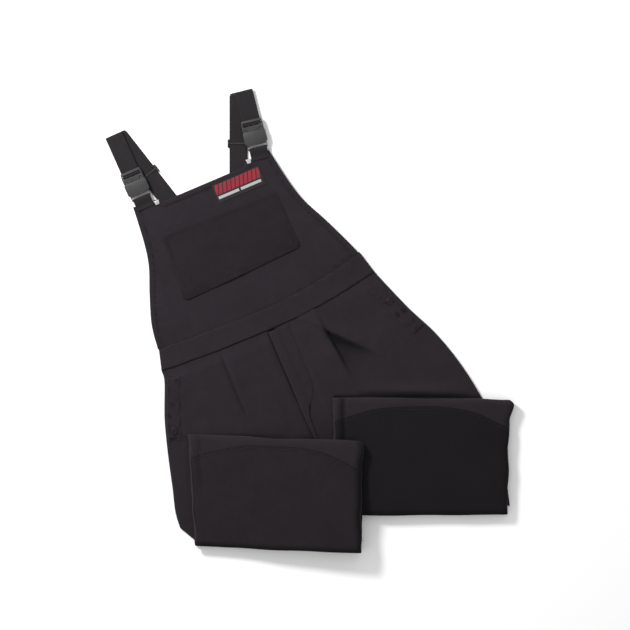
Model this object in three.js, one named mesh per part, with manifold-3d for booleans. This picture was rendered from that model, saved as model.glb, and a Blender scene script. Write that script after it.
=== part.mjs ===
// Bib-and-brace work overalls, laid on their back and folded for storage.
// Millimetres, +Z up. The origin is on the floor under the middle of the folded garment.
// "right" and "left" are the wearer's: the garment lies face up, so right is at -X.
// Every sheet of cloth is a solid ply; plies stack at one pitch and never touch.
import * as THREE from 'three';
import { mergeVertices } from 'three/addons/utils/BufferGeometryUtils.js';
import Module from 'manifold-3d';

const wasm = await Module();
wasm.setup();

// ---- driving dimensions -------------------------------------------------------------------

const DEG = Math.PI / 180;
const GAP = 0.35; // air between neighbouring pieces
const PLY = 2.6; // one ply of padded-out twill with its seams
const PITCH = PLY + GAP; // height from one ply to the next
const PATCH = 1.5; // thickness of sewn-on patches, plackets and pockets

function packet({ x, y, width, depth }) {
  return { x0: x, x1: x + width, y0: y, y1: y + depth };
}

// bib group: its own frame stands on the middle of the waist seam, Y towards the chest
const BIB_PLACE = [-86, -18];
const BIB_TURN = 23 * DEG;
const WAIST_WIDTH = 494;
const WAISTBAND_WIDTH = 468; // at its upper seam
const WAISTBAND_HEIGHT = 47;
const WAIST_RISE = { right: 9, left: 27 }; // the waist seam curves up towards each side
const BAND_TOP_RISE = { right: 8, left: 31 };
const BAND_THICKNESS = 4;
const BIB_HEIGHT = 337;
const TAB_HEIGHT = BIB_HEIGHT + 13; // the two corners that carry the buckles rise above the hem
const BIB_TOP_WIDTH = 310;
const CHEST_WIDTH = 331;
const ARMPIT_WIDTH = 448;
const ARMPIT_Y = 108;
const TAB_WIDTH = 52;
const BIB_SKEW = -12; // how far the top hem leans sideways
const BACK_TOP_Y = 250;
const BACK_TOP_WIDTH = 190;

const POCKET_WIDTH = 262;
const POCKET_LOW = 126;
const POCKET_HEIGHT = BIB_HEIGHT - POCKET_LOW - 70;
const POCKET_CORNER = 26;
const LABEL = { x: 12, y: BIB_HEIGHT - 51, width: 108, height: 42, thickness: 0.8 };

// straps and buckles: each strap's frame stands on its buckle's middle, Y towards the shoulder
const RUN_CLEAR = 0.3; // clearance of parts that slide or turn in each other
const WEB_WIDTH = 38;
const STRAP_SPREAD = 135.5; // half the distance between the buckles
const STRAP_MIDDLE = -8;
const BUCKLE_Y = TAB_HEIGHT + 40;
const TAIL_LENGTH = 60;
const ADJUSTER_FROM_FOLD = 105;
const ADJUSTER_LENGTH = 17;
const ADJUSTER_BAR = 3.2;
const ADJUSTER_RAIL = 3.5;
const ADJUSTER_PLATE = 0.6; // end bars, under the webbing
const ADJUSTER_BRIDGE = 1; // middle bar, over the webbing
const WEB_FLOOR = ADJUSTER_PLATE + RUN_CLEAR; // underside of the back run
const WEB = PLY - WEB_FLOOR; // the back run's top is level with the back panel's
const ADJUSTER_ROOF = WEB_FLOOR + WEB + RUN_CLEAR + ADJUSTER_BRIDGE;
// outer radius of the strap's turn at the shoulder: the doubled front run clears the adjuster
const FOLD_RADIUS = (ADJUSTER_ROOF + RUN_CLEAR + 2 * WEB - WEB_FLOOR) / 2;

const BUCKLE_WIDTH = WEB_WIDTH + 10;
const BUCKLE_THICK = 9;
const BUCKLE_FLOOR = ADJUSTER_ROOF + 0.7;
const SLEEVE_MOUTH = 9;
const SLEEVE_END = -21;
const SLEEVE_WALL = 3.5;
const SLEEVE_ROOF = 1.3;
const WINDOW = [-14, 2];
const SLOT_LENGTH = 5.5; // webbing slot of the socket half
const SOCKET_BAR = { length: 3.5, thick: 2.5 };
const PLUG_WIDTH = BUCKLE_WIDTH - 3;
const PLUG_THICK = BUCKLE_THICK - 1;
const PLUG_BODY = 10.6;
const PLUG_SLOT = 8;
const PLUG_TOP_BAR = 5;
const PLUG_TOP_BAR_THICK = 3.5;
const CROSS_BAR_RADIUS = 1.2;
const TONGUE = { width: 10, length: 19, thick: 4 };
const PRONG = {
  x: BUCKLE_WIDTH / 2 - 8,
  width: 5,
  length: 24,
  thick: BUCKLE_THICK - 2 * SLEEVE_ROOF - 1,
  barb: 4.4,
  barbLength: 10,
  pivotInset: 3,
};

// fly
const FLY_SLOT = 12;
const ZIP_LENGTH = 160;
const ZIP_TOP = 18;
const CHAIN = { width: 5, thick: 1.5 };
const TAPE_THICK = 0.8;
const SLIDER = { length: 10, width: 10.4, plate: 0.6, wedge: 2.4 };
const PULLER = { width: 5, length: 18, thick: 0.7 };
const PLACKET_WIDTH = 44;
const PLACKET_LENGTH = 176;
const CROTCH_DEPTH = 270;

// folded legs: each packet is three layers stacked on the end of its thigh
const RIGHT_PACKET = packet({ x: -252, y: -488, width: 361, depth: 241 });
const LEFT_PACKET = packet({ x: 52, y: -415, width: 370, depth: 254 });
const HEM_DEPTH = 30;
const TUCK = 34; // how much of the thigh ply reaches into each packet's lower fold
const FOLD_STEPS = 8;
const HIP_PLACKET = { inset: 5, width: 28, from: 16, to: 150 };
const BUTTON = { radius: 8.5, height: 2.6, neck: 3 };
const BUTTON_STOPS = [52, 112];

const CLIP = { width: 11, length: 9, thick: 1.6, fromWeb: 6.5, below: 46 };

// ---- finishes -----------------------------------------------------------------------------

function finish(color, roughness, metalness = 0) {
  return new THREE.MeshStandardMaterial({ color, roughness, metalness });
}
const twill = () => finish(0x2c272b, 0.92);
const pocketTwill = () => finish(0x262226, 0.92);
const webbing = () => finish(0x2b272b, 0.85);
const acetal = () => finish(0x6a6365, 0.45);
const darkMetal = () => finish(0x2e2c2e, 0.4, 0.8);

// ---- making solids ------------------------------------------------------------------------

function toSolid(geometry) {
  const bare = geometry.clone();
  bare.deleteAttribute('normal');
  bare.deleteAttribute('uv');
  const merged = mergeVertices(bare, 1e-4);
  return new wasm.Manifold(new wasm.Mesh({
    numProp: 3,
    vertProperties: new Float32Array(merged.attributes.position.array),
    triVerts: new Uint32Array(merged.index.array),
  }));
}

function toGeometry(solid) {
  const mesh = solid.getMesh();
  const geometry = new THREE.BufferGeometry();
  geometry.setAttribute('position', new THREE.BufferAttribute(mesh.vertProperties, 3));
  geometry.setIndex(new THREE.BufferAttribute(mesh.triVerts, 1));
  return geometry;
}

function join(...geometries) {
  return toGeometry(geometries.map(toSolid).reduce((whole, next) => whole.add(next)));
}

function cut(geometry, ...tools) {
  return toGeometry(tools.map(toSolid).reduce((whole, tool) => whole.subtract(tool), toSolid(geometry)));
}

function outline(points) {
  return new THREE.Shape(points.map(([x, y]) => new THREE.Vector2(x, y)));
}

// A flat sheet with the outline in plan, from height z upwards.
function sheet(points, z, thickness) {
  const shape = points instanceof THREE.Shape ? points : outline(points);
  return new THREE.ExtrudeGeometry(shape, { depth: thickness, bevelEnabled: false }).translate(0, 0, z);
}

// A section drawn in Y and Z, run along X from x0 to x1.
function alongX(points, x0, x1) {
  const shape = points instanceof THREE.Shape ? points : outline(points);
  const turn = new THREE.Matrix4().makeBasis(
    new THREE.Vector3(0, 1, 0), new THREE.Vector3(0, 0, 1), new THREE.Vector3(1, 0, 0),
  );
  return new THREE.ExtrudeGeometry(shape, { depth: x1 - x0, bevelEnabled: false, curveSegments: 6 })
    .applyMatrix4(turn).translate(x0, 0, 0);
}

// A section drawn in X and Z, run along Y from y0 to y1.
function alongY(points, y0, y1) {
  const turn = new THREE.Matrix4().makeBasis(
    new THREE.Vector3(-1, 0, 0), new THREE.Vector3(0, 0, 1), new THREE.Vector3(0, 1, 0),
  );
  const mirrored = points.map(([x, z]) => [-x, z]);
  return new THREE.ExtrudeGeometry(outline(mirrored), { depth: y1 - y0, bevelEnabled: false })
    .applyMatrix4(turn).translate(0, y0, 0);
}

function block(x0, x1, y0, y1, z0, z1) {
  return new THREE.BoxGeometry(x1 - x0, y1 - y0, z1 - z0)
    .translate((x0 + x1) / 2, (y0 + y1) / 2, (z0 + z1) / 2);
}

function add(group, name, geometry, material) {
  const mesh = new THREE.Mesh(geometry, material);
  mesh.name = name;
  group.add(mesh);
  return mesh;
}

const plyFloor = (count) => count * PITCH;

// Points of a smooth line through the given ones, without its last point.
function smooth(points, steps) {
  const curve = new THREE.SplineCurve(points.map(([x, y]) => new THREE.Vector2(x, y)));
  return curve.getPoints(steps).map((p) => [p.x, p.y]);
}

const mirrorX = (points) => points.map(([x, y]) => [-x, y]).reverse();
const lean = ([x, y]) => [x + BIB_SKEW * (y / BIB_HEIGHT), y];

// The same line moved sideways, towards the right of its direction.
function offsetLine(points, distance) {
  return points.map(([x, y], i) => {
    const [ax, ay] = points[Math.max(i - 1, 0)];
    const [bx, by] = points[Math.min(i + 1, points.length - 1)];
    const length = Math.hypot(bx - ax, by - ay);
    return [x + ((by - ay) / length) * distance, y - ((bx - ax) / length) * distance];
  });
}

// The stretch of a line between two distances along it.
function stretch(points, from, to, steps = 8) {
  const curve = new THREE.Path(points.map(([x, y]) => new THREE.Vector2(x, y)));
  const whole = curve.getLength();
  return Array.from({ length: steps + 1 }, (_, i) => {
    const p = curve.getPointAt((from + ((to - from) * i) / steps) / whole);
    return [p.x, p.y];
  });
}

// From the bib's frame to the garment's.
function fromBib([x, y]) {
  const c = Math.cos(BIB_TURN);
  const s = Math.sin(BIB_TURN);
  return [BIB_PLACE[0] + x * c - y * s, BIB_PLACE[1] + x * s + y * c];
}

// ---- bib and waist ------------------------------------------------------------------------

const riseAt = (x, rise, half) => (x > 0 ? rise.left : rise.right) * (x / half) ** 2;
const waistLow = (x) => riseAt(x, WAIST_RISE, WAIST_WIDTH / 2);
const bandTop = (x) => WAISTBAND_HEIGHT + riseAt(x, BAND_TOP_RISE, WAISTBAND_WIDTH / 2);

// A line across the whole width, at a height that changes with x.
function across(width, height, raise) {
  const steps = 12;
  return Array.from({ length: steps + 1 }, (_, i) => {
    const x = width * (i / steps - 0.5);
    return [x, height(x) + raise];
  });
}

// One side of a panel from the waistband upwards; sign is -1 on the wearer's right.
function panelSide(sign, points, steps) {
  const foot = [WAISTBAND_WIDTH / 2, bandTop((sign * WAISTBAND_WIDTH) / 2) + GAP];
  return smooth([foot, ...points].map(([x, y]) => [sign * x, y]), steps).map(lean);
}

function panelOutline(points, steps) {
  return [
    ...across(WAISTBAND_WIDTH, bandTop, GAP).slice(1, -1),
    ...panelSide(1, points, steps), ...panelSide(-1, points, steps).reverse(),
  ];
}

function bibOutline() {
  const armhole = [
    [ARMPIT_WIDTH / 2, ARMPIT_Y],
    [ARMPIT_WIDTH / 2 - 23, ARMPIT_Y + 60],
    [CHEST_WIDTH / 2 + 12, ARMPIT_Y + 115],
    [CHEST_WIDTH / 2, ARMPIT_Y + 165],
    [BIB_TOP_WIDTH / 2, TAB_HEIGHT],
  ];
  const tabInner = BIB_TOP_WIDTH / 2 - TAB_WIDTH;
  const hem = [[tabInner, TAB_HEIGHT - 4], [tabInner - 12, BIB_HEIGHT]];
  return [
    ...across(WAISTBAND_WIDTH, bandTop, GAP).slice(1, -1),
    ...panelSide(1, armhole, 14), ...hem.map(lean),
    ...mirrorX(hem).map(lean), ...panelSide(-1, armhole, 14).reverse(),
  ];
}

function backOutline() {
  return panelOutline([
    [ARMPIT_WIDTH / 2 - 4, ARMPIT_Y],
    [ARMPIT_WIDTH / 2 - 60, ARMPIT_Y + 60],
    [BACK_TOP_WIDTH / 2, BACK_TOP_Y],
  ], 10);
}

function bandOutline() {
  return [...across(WAIST_WIDTH, waistLow, 0), ...across(WAISTBAND_WIDTH, bandTop, 0).reverse()];
}

function pocketOutline() {
  const [left, right] = [-POCKET_WIDTH / 2, POCKET_WIDTH / 2];
  const top = POCKET_LOW + POCKET_HEIGHT;
  const corner = POCKET_CORNER;
  const shape = [
    [left, POCKET_LOW + corner], [left + corner, POCKET_LOW],
    [right - corner, POCKET_LOW], [right, POCKET_LOW + corner],
    [right, top], [left, top],
  ];
  return shape.map(lean);
}

function makeBib(group) {
  add(group, 'back_bib_panel', sheet(backOutline(), plyFloor(0), PLY), twill());
  add(group, 'bib_front_panel', sheet(bibOutline(), plyFloor(1), PLY), twill());
  add(group, 'bib_pocket', sheet(pocketOutline(), plyFloor(2), PATCH), pocketTwill());
  const [labelX, labelY] = lean([LABEL.x, LABEL.y]);
  const label = block(0, LABEL.width, 0, LABEL.height, 0, LABEL.thickness)
    .translate(labelX, labelY, plyFloor(2));
  add(group, 'chest_label', label, finish(0x8f2532, 0.8));
  add(group, 'waistband_front', sheet(bandOutline(), plyFloor(1), BAND_THICKNESS), twill());
  add(group, 'waistband_back', sheet(bandOutline(), plyFloor(0), PLY), twill());
}

// ---- fly ----------------------------------------------------------------------------------

const CHAIN_FLOOR = plyFloor(1) + SLIDER.plate + RUN_CLEAR;
const SLIDER_ROOF = CHAIN_FLOOR + CHAIN.thick + RUN_CLEAR;
const PULLER_FLOOR = SLIDER_ROOF + SLIDER.plate + RUN_CLEAR;
const PLACKET_FLOOR = PULLER_FLOOR + PULLER.thick + RUN_CLEAR;

function makeFly(group) {
  const tapeHalf = FLY_SLOT / 2 - RUN_CLEAR;
  const tapeFloor = CHAIN_FLOOR + (CHAIN.thick - TAPE_THICK) / 2;
  const chainTop = -ZIP_TOP;
  const chainEnd = -ZIP_LENGTH;
  const chain = block(-CHAIN.width / 2, CHAIN.width / 2, chainEnd, chainTop,
    CHAIN_FLOOR, CHAIN_FLOOR + CHAIN.thick);
  const tape = block(-tapeHalf, tapeHalf, chainEnd, chainTop, tapeFloor, tapeFloor + TAPE_THICK);
  add(group, 'fly_zipper_chain', join(chain, tape), finish(0x353135, 0.6, 0.4));

  const half = SLIDER.width / 2;
  const sliderTop = chainTop + RUN_CLEAR + SLIDER.wedge;
  const sliderEnd = sliderTop - SLIDER.length;
  const lower = block(-half, half, sliderEnd, sliderTop, plyFloor(1), plyFloor(1) + SLIDER.plate);
  const upper = block(-half, half, sliderEnd, sliderTop, SLIDER_ROOF, SLIDER_ROOF + SLIDER.plate);
  const wedge = block(-SLIDER.wedge / 2, SLIDER.wedge / 2, sliderTop - SLIDER.wedge, sliderTop,
    plyFloor(1), SLIDER_ROOF + SLIDER.plate);
  add(group, 'zipper_slider', join(lower, upper, wedge), finish(0x8d7a4c, 0.35, 0.9));

  const puller = block(-PULLER.width / 2, PULLER.width / 2, sliderEnd + 4 - PULLER.length, sliderEnd + 4,
    PULLER_FLOOR, PULLER_FLOOR + PULLER.thick);
  const hole = block(-1.2, 1.2, sliderEnd - 10, sliderEnd - 6, PULLER_FLOOR - 1, PULLER_FLOOR + 2);
  add(group, 'zipper_puller', cut(puller, hole), finish(0x8d7a4c, 0.35, 0.9));

  // the placket is sewn down on the wearer's left and bridges the zip with its free edge
  const sewn = FLY_SLOT / 2 + 3;
  const free = -FLY_SLOT / 2 - 2;
  const far = free + PLACKET_WIDTH;
  const section = [
    [far, plyFloor(2)], [sewn, plyFloor(2)], [sewn - 2, PLACKET_FLOOR],
    [free, PLACKET_FLOOR], [free, PLACKET_FLOOR + PATCH], [sewn - 1, PLACKET_FLOOR + PATCH],
    [sewn + 1.5, plyFloor(2) + PATCH], [far, plyFloor(2) + PATCH],
  ];
  const placket = alongY(section, -PLACKET_LENGTH, -4);
  const round = sheet([
    [8, -PLACKET_LENGTH - 1], [far + 2, -PLACKET_LENGTH - 1], [far + 2, -PLACKET_LENGTH + 34],
  ], 0, 20);
  add(group, 'fly_placket', cut(placket, round), twill());
}

// ---- folded legs --------------------------------------------------------------------------

// A ply that runs along a line in Y and Z, as a closed section.
function plySection(line) {
  return [...offsetLine(line, PLY / 2), ...offsetLine(line, -PLY / 2).reverse()];
}

const midPly = (count) => plyFloor(count) + PLY / 2;

// Half a turn around (y, middle of two plies): side -1 turns at low Y, +1 at high Y.
function turn(y, fromPly, toPly, side) {
  const centre = (midPly(fromPly) + midPly(toPly)) / 2;
  const radius = (midPly(toPly) - midPly(fromPly)) / 2;
  return Array.from({ length: FOLD_STEPS + 1 }, (_, i) => {
    const angle = (i / FOLD_STEPS) * Math.PI;
    return [y + side * Math.abs(radius) * Math.sin(angle), centre - radius * Math.cos(angle)];
  });
}

// The layers, counted in plies from the floor, are: thigh 0 and 1, first layer back up 2 and 3,
// tucked end 4 and 5, top layer 6 and 7. The front of the leg takes plies 1, 2, 7 and 4.
const OUTER_FOLD = 1.5 * PITCH + PLY / 2;
const WIDE_FOLD = 2.5 * PITCH + PLY / 2;

function foldedLine(packet, plies) {
  const low = packet.y0 + OUTER_FOLD;
  const high = packet.y1 - WIDE_FOLD;
  const [thigh, first, top, tucked] = plies;
  return [
    [packet.y0 + TUCK, midPly(thigh)],
    ...turn(low, thigh, first, -1),
    ...turn(high, first, top, 1),
    ...turn(low, top, tucked, -1),
    [high - HEM_DEPTH - GAP, midPly(tucked)],
  ];
}

const FRONT_PLIES = [1, 2, 7, 4];
const BACK_PLIES = [0, 3, 6, 5];

function hemSection(width) {
  const half = width / 2;
  const floor = plyFloor(4);
  const roof = plyFloor(5) + PLY;
  const slitFloor = floor + PLY;
  const fold = 4;
  return {
    outer: [[-half, floor], [half, floor], [half, roof], [-half, roof]],
    slit: [[-half + fold, slitFloor], [half - fold, slitFloor],
      [half - fold, slitFloor + GAP], [-half + fold, slitFloor + GAP]],
  };
}

// The right packet lies across the corner of the left one, so its layers rise towards +X.
// Only what lies above the thigh plies is lifted, by an amount that grows with X.
const LEFT_PACKET_ROOF = plyFloor(8) + PATCH;
const THIGH_ROOF = plyFloor(1) + PLY;
const LIFT_SLOPE = (LEFT_PACKET_ROOF + GAP - plyFloor(2)) / (LEFT_PACKET.x0 - RIGHT_PACKET.x0);

function lifted(geometry) {
  const position = geometry.attributes.position;
  for (let i = 0; i < position.count; i += 1) {
    const share = THREE.MathUtils.clamp((position.getZ(i) - THIGH_ROOF) / GAP, 0, 1);
    const rise = Math.max(position.getX(i) - RIGHT_PACKET.x0, 0) * LIFT_SLOPE;
    position.setZ(i, position.getZ(i) + share * rise);
  }
  return geometry;
}

const waistCorner = (sign) => fromBib([
  (sign * WAIST_WIDTH) / 2, waistLow((sign * WAIST_WIDTH) / 2) - GAP,
]);
const rightHip = [
  waistCorner(-1),
  ...[[-59, 118], [-59, 46], [-55, -4], [-49, -55], [-42, -105], [-36, -155], [-26, -189]]
    .map(([x, y]) => [RIGHT_PACKET.x0 + x, RIGHT_PACKET.y1 + y]),
];
const leftHip = [
  waistCorner(1),
  ...[[-222, 191], [-166, 139], [-121, 86], [-88, 38], [-64, -2]]
    .map(([x, y]) => [LEFT_PACKET.x1 + x, LEFT_PACKET.y1 + y]),
];
// The waist seam from its side corner to the fly, without either end.
const waistSeam = (sign) => [0.8, 0.6, 0.4, 0.2].map((share) => {
  const x = (sign * share * WAIST_WIDTH) / 2;
  return fromBib([x, waistLow(x) - GAP]);
});
const flySide = (sign) => [
  [sign * FLY_SLOT / 2, -GAP], [sign * FLY_SLOT / 2, -ZIP_LENGTH - GAP],
  [sign * GAP / 2, -ZIP_LENGTH - FLY_SLOT / 2], [sign * GAP / 2, -CROTCH_DEPTH],
].map(fromBib);
const seatSide = (sign) => [[sign * GAP / 2, -GAP], [sign * GAP / 2, -CROTCH_DEPTH]].map(fromBib);

// Thigh plies in plan; both stop inside their packet's lower fold.
const OVERLAP = 8;
function rightThigh(centreSide) {
  const low = RIGHT_PACKET.y0 + TUCK - OVERLAP;
  return [
    ...centreSide, [LEFT_PACKET.x0 - 16, -310], [LEFT_PACKET.x0 - 7, LEFT_PACKET.y0 - 5],
    [RIGHT_PACKET.x1 - 9, low + 2], [RIGHT_PACKET.x1, low],
    [RIGHT_PACKET.x0 + 6, low], ...[...rightHip].reverse(), ...waistSeam(-1),
  ];
}
function leftThigh(centreSide) {
  const low = LEFT_PACKET.y0 + TUCK - OVERLAP;
  return [
    ...leftHip, [LEFT_PACKET.x1 - 30, LEFT_PACKET.y1 - 54], [LEFT_PACKET.x1 - 17, LEFT_PACKET.y1 - 139],
    [LEFT_PACKET.x1 - 6, low], [LEFT_PACKET.x0 + 6, low], [LEFT_PACKET.x0 + 4, -300],
    ...[...centreSide].reverse(), ...waistSeam(1).reverse(),
  ];
}

function kneePatch(packet) {
  const width = packet.x1 - packet.x0;
  const crown = smooth([
    [packet.x0 + 3, packet.y1 - 50], [packet.x0 + width * 0.25, packet.y1 - 24],
    [packet.x0 + width * 0.52, packet.y1 - 17], [packet.x0 + width * 0.78, packet.y1 - 28],
    [packet.x1 - 3, packet.y1 - 62],
  ], 12).reverse();
  const low = packet.y0 + OUTER_FOLD;
  return sheet([...crown, [packet.x0 + 3, low], [packet.x1 - 3, low]], plyFloor(8), PATCH);
}

function makeLeg(group, side, packet, thighOf, finishLeg) {
  const width = packet.x1 - packet.x0;
  const sign = side === 'right' ? -1 : 1;
  const ribbon = (plies) => alongX(plySection(foldedLine(packet, plies)), packet.x0, packet.x1);
  const front = join(sheet(thighOf(flySide(sign)), plyFloor(1), PLY), ribbon(FRONT_PLIES));
  const back = join(sheet(thighOf(seatSide(sign)), plyFloor(0), PLY), ribbon(BACK_PLIES));
  add(group, `${side}_leg_front_panel`, finishLeg(front), twill());
  add(group, `${side}_leg_back_panel`, finishLeg(back), twill());
  add(group, `${side}_knee_patch`, finishLeg(kneePatch(packet)), pocketTwill());

  const { outer, slit } = hemSection(width);
  const hemEnd = packet.y1 - WIDE_FOLD;
  const middle = (packet.x0 + packet.x1) / 2;
  const band = alongY(outer, hemEnd - HEM_DEPTH, hemEnd);
  const opening = alongY(slit, hemEnd - HEM_DEPTH - 1, hemEnd + 1);
  add(group, `${side}_leg_hem`, finishLeg(cut(band, opening).translate(middle, 0, 0)), twill());
}

// Strip along the hip with its two tack buttons; the line runs down from the waist.
function makeHipOpening(group, side, hip, inward) {
  const edge = stretch(hip, HIP_PLACKET.from, HIP_PLACKET.to);
  const near = offsetLine(edge, inward * HIP_PLACKET.inset);
  const far = offsetLine(edge, inward * (HIP_PLACKET.inset + HIP_PLACKET.width));
  const strip = sheet([...near, ...far.reverse()], plyFloor(2), PATCH);
  add(group, `${side}_hip_placket`, strip, twill());
  const middle = offsetLine(edge, inward * (HIP_PLACKET.inset + HIP_PLACKET.width / 2));
  BUTTON_STOPS.forEach((stop, i) => {
    const [[x, y]] = stretch(middle, stop, stop + 1, 1);
    const cap = [
      [0, 0], [BUTTON.neck, 0], [BUTTON.neck, 0.5], [BUTTON.radius, 0.9], [BUTTON.radius, 1.9],
      [BUTTON.radius - 1.5, BUTTON.height], [0, BUTTON.height],
    ].map(([r, z]) => new THREE.Vector2(r, z));
    const button = new THREE.LatheGeometry(cap, 20).rotateX(Math.PI / 2)
      .translate(x, y, plyFloor(2) + PATCH + GAP);
    add(group, `${side}_hip_button_${i + 1}`, button, darkMetal());
  });
}

// ---- straps -------------------------------------------------------------------------------

const BUCKLE_MIDDLE = BUCKLE_FLOOR + BUCKLE_THICK / 2;
const FOLD_CENTRE = WEB_FLOOR + FOLD_RADIUS;
const RUN_ROOF = WEB_FLOOR + 2 * FOLD_RADIUS;
const HALF_WEB = WEB_WIDTH / 2;
const SLOT_HALF = HALF_WEB + 0.6;
const SOCKET_BAR_TOP = SLEEVE_END - SLOT_LENGTH;
const SOCKET_BAR_END = SOCKET_BAR_TOP - SOCKET_BAR.length;
const PLUG_START = SLEEVE_MOUTH + RUN_CLEAR;
const PLUG_SLOT_START = PLUG_START + PLUG_BODY;
const PLUG_SLOT_END = PLUG_SLOT_START + PLUG_SLOT;
const PLUG_END = PLUG_SLOT_END + PLUG_TOP_BAR;
const CROSS_BAR_Y = (PLUG_SLOT_START + PLUG_SLOT_END) / 2;
const CROSS_BAR_Z = RUN_ROOF + CROSS_BAR_RADIUS + RUN_CLEAR + 0.2;

function makeSocket(group, side) {
  const half = BUCKLE_WIDTH / 2;
  const roof = BUCKLE_FLOOR + BUCKLE_THICK;
  const inner = half - SLEEVE_WALL;
  const sleeve = sheet([
    [-half, SLEEVE_END + 6], [-half + 5, SLEEVE_END], [half - 5, SLEEVE_END], [half, SLEEVE_END + 6],
    [half, SLEEVE_MOUTH - 3], [half - 2, SLEEVE_MOUTH], [-half + 2, SLEEVE_MOUTH],
    [-half, SLEEVE_MOUTH - 3],
  ], BUCKLE_FLOOR, BUCKLE_THICK);
  const hollow = block(-inner, inner, SLEEVE_END + 4, SLEEVE_MOUTH + 1,
    BUCKLE_FLOOR + SLEEVE_ROOF, roof - SLEEVE_ROOF);
  const windows = block(-half - 1, half + 1, WINDOW[0], WINDOW[1],
    BUCKLE_FLOOR + SLEEVE_ROOF + 0.2, roof - SLEEVE_ROOF - 0.2);
  const barHeight = BUCKLE_MIDDLE - SOCKET_BAR.thick / 2;
  const cheeks = sheet([
    [-half + 3, SLEEVE_END + 1], [-half + 3, SOCKET_BAR_END + 1], [-half + 4, SOCKET_BAR_END],
    [half - 4, SOCKET_BAR_END], [half - 3, SOCKET_BAR_END + 1], [half - 3, SLEEVE_END + 1],
  ], barHeight, SOCKET_BAR.thick);
  const slot = block(-SLOT_HALF, SLOT_HALF, SOCKET_BAR_TOP, SLEEVE_END, barHeight - 1, roof);
  add(group, `${side}_buckle_socket`, cut(join(sleeve, cheeks), hollow, windows, slot), acetal());
}

function makePlug(group, side) {
  const half = PLUG_WIDTH / 2;
  const floor = BUCKLE_MIDDLE - PLUG_THICK / 2;
  const roof = floor + PLUG_THICK;
  const body = sheet([
    [-half, PLUG_START], [half, PLUG_START], [half, PLUG_SLOT_START + 3], [half - 1.5, PLUG_END],
    [-half + 1.5, PLUG_END], [-half, PLUG_SLOT_START + 3],
  ], floor, PLUG_THICK);
  const frame = block(-SLOT_HALF, SLOT_HALF, PLUG_SLOT_START, PLUG_SLOT_END, floor - 1, roof + 1);
  const underBar = block(-SLOT_HALF, SLOT_HALF, PLUG_SLOT_END - 1, PLUG_END + 1,
    floor - 1, roof - PLUG_TOP_BAR_THICK);
  const notches = [-1, 1].flatMap((sign) => {
    const x = sign * PRONG.x;
    const r = PRONG.width / 2 + RUN_CLEAR;
    const pivotY = PLUG_START + PRONG.pivotInset;
    const socketRound = new THREE.CylinderGeometry(r, r, PLUG_THICK + 2, 20).rotateX(Math.PI / 2)
      .translate(x, pivotY, BUCKLE_MIDDLE);
    const inward = -sign * 1.2;
    const mouth = sheet([
      [x - r + Math.min(inward, 0), PLUG_START - 1], [x + r + Math.max(inward, 0), PLUG_START - 1],
      [x + r, pivotY], [x - r, pivotY],
    ], floor - 1, PLUG_THICK + 2);
    return [socketRound, mouth];
  });
  const tongue = block(-TONGUE.width / 2, TONGUE.width / 2, PLUG_START - TONGUE.length, PLUG_START + 1,
    BUCKLE_MIDDLE - TONGUE.thick / 2, BUCKLE_MIDDLE + TONGUE.thick / 2);
  const crossBar = new THREE.CylinderGeometry(CROSS_BAR_RADIUS, CROSS_BAR_RADIUS, PLUG_WIDTH - 4, 16)
    .rotateZ(Math.PI / 2).translate(0, CROSS_BAR_Y, CROSS_BAR_Z);
  const shell = cut(body, frame, underBar, ...notches);
  add(group, `${side}_buckle_plug`, join(shell, tongue, crossBar), acetal());
}

function makeProng(group, side, which, sign) {
  const half = PRONG.width / 2;
  const pivotY = PLUG_START + PRONG.pivotInset;
  const shape = new THREE.Shape();
  const tip = pivotY - PRONG.length;
  shape.moveTo(-half, pivotY);
  shape.lineTo(-half, tip + 2);
  shape.lineTo(0, tip);
  shape.lineTo(half, tip);
  shape.lineTo(half + PRONG.barb, tip + PRONG.barbLength - 2);
  shape.lineTo(half + PRONG.barb, tip + PRONG.barbLength);
  shape.lineTo(half, tip + PRONG.barbLength);
  shape.lineTo(half, pivotY);
  shape.absarc(0, pivotY, half, 0, Math.PI, false);
  const arm = new THREE.ExtrudeGeometry(shape, { depth: PRONG.thick, bevelEnabled: false, curveSegments: 10 })
    .translate(PRONG.x, 0, BUCKLE_MIDDLE - PRONG.thick / 2);
  if (sign < 0) {
    arm.rotateY(Math.PI).translate(0, 0, 2 * BUCKLE_MIDDLE);
  }
  add(group, `${side}_buckle_${which}_prong`, arm, acetal());
}

// Doubled webbing through the plug's frame, then a single run up to the turn at the shoulder.
function makeFrontRun(group, side, foldY) {
  const ringOuter = CROSS_BAR_RADIUS + RUN_CLEAR + WEB;
  const run = new THREE.Shape();
  const runFloor = RUN_ROOF - WEB;
  const foldFoot = foldY - FOLD_RADIUS;
  run.moveTo(CROSS_BAR_Y, runFloor - WEB);
  run.lineTo(CROSS_BAR_Y + TAIL_LENGTH, runFloor - WEB);
  run.lineTo(CROSS_BAR_Y + TAIL_LENGTH, runFloor);
  run.lineTo(foldFoot, runFloor);
  run.absarc(foldFoot, FOLD_CENTRE, FOLD_RADIUS - WEB, Math.PI / 2, -Math.PI / 2, true);
  run.lineTo(foldFoot, WEB_FLOOR);
  run.absarc(foldFoot, FOLD_CENTRE, FOLD_RADIUS, -Math.PI / 2, Math.PI / 2, false);
  run.lineTo(CROSS_BAR_Y, RUN_ROOF);
  const loop = new THREE.Shape();
  loop.absarc(CROSS_BAR_Y, CROSS_BAR_Z, ringOuter, 0, 2 * Math.PI, false);
  const hole = new THREE.Path();
  hole.absarc(CROSS_BAR_Y, CROSS_BAR_Z, ringOuter - WEB, 0, 2 * Math.PI, true);
  loop.holes.push(hole);
  const geometry = join(alongX(run, -HALF_WEB, HALF_WEB), alongX(loop, -HALF_WEB, HALF_WEB));
  add(group, `${side}_strap_front_run`, geometry, webbing());
}

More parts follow.
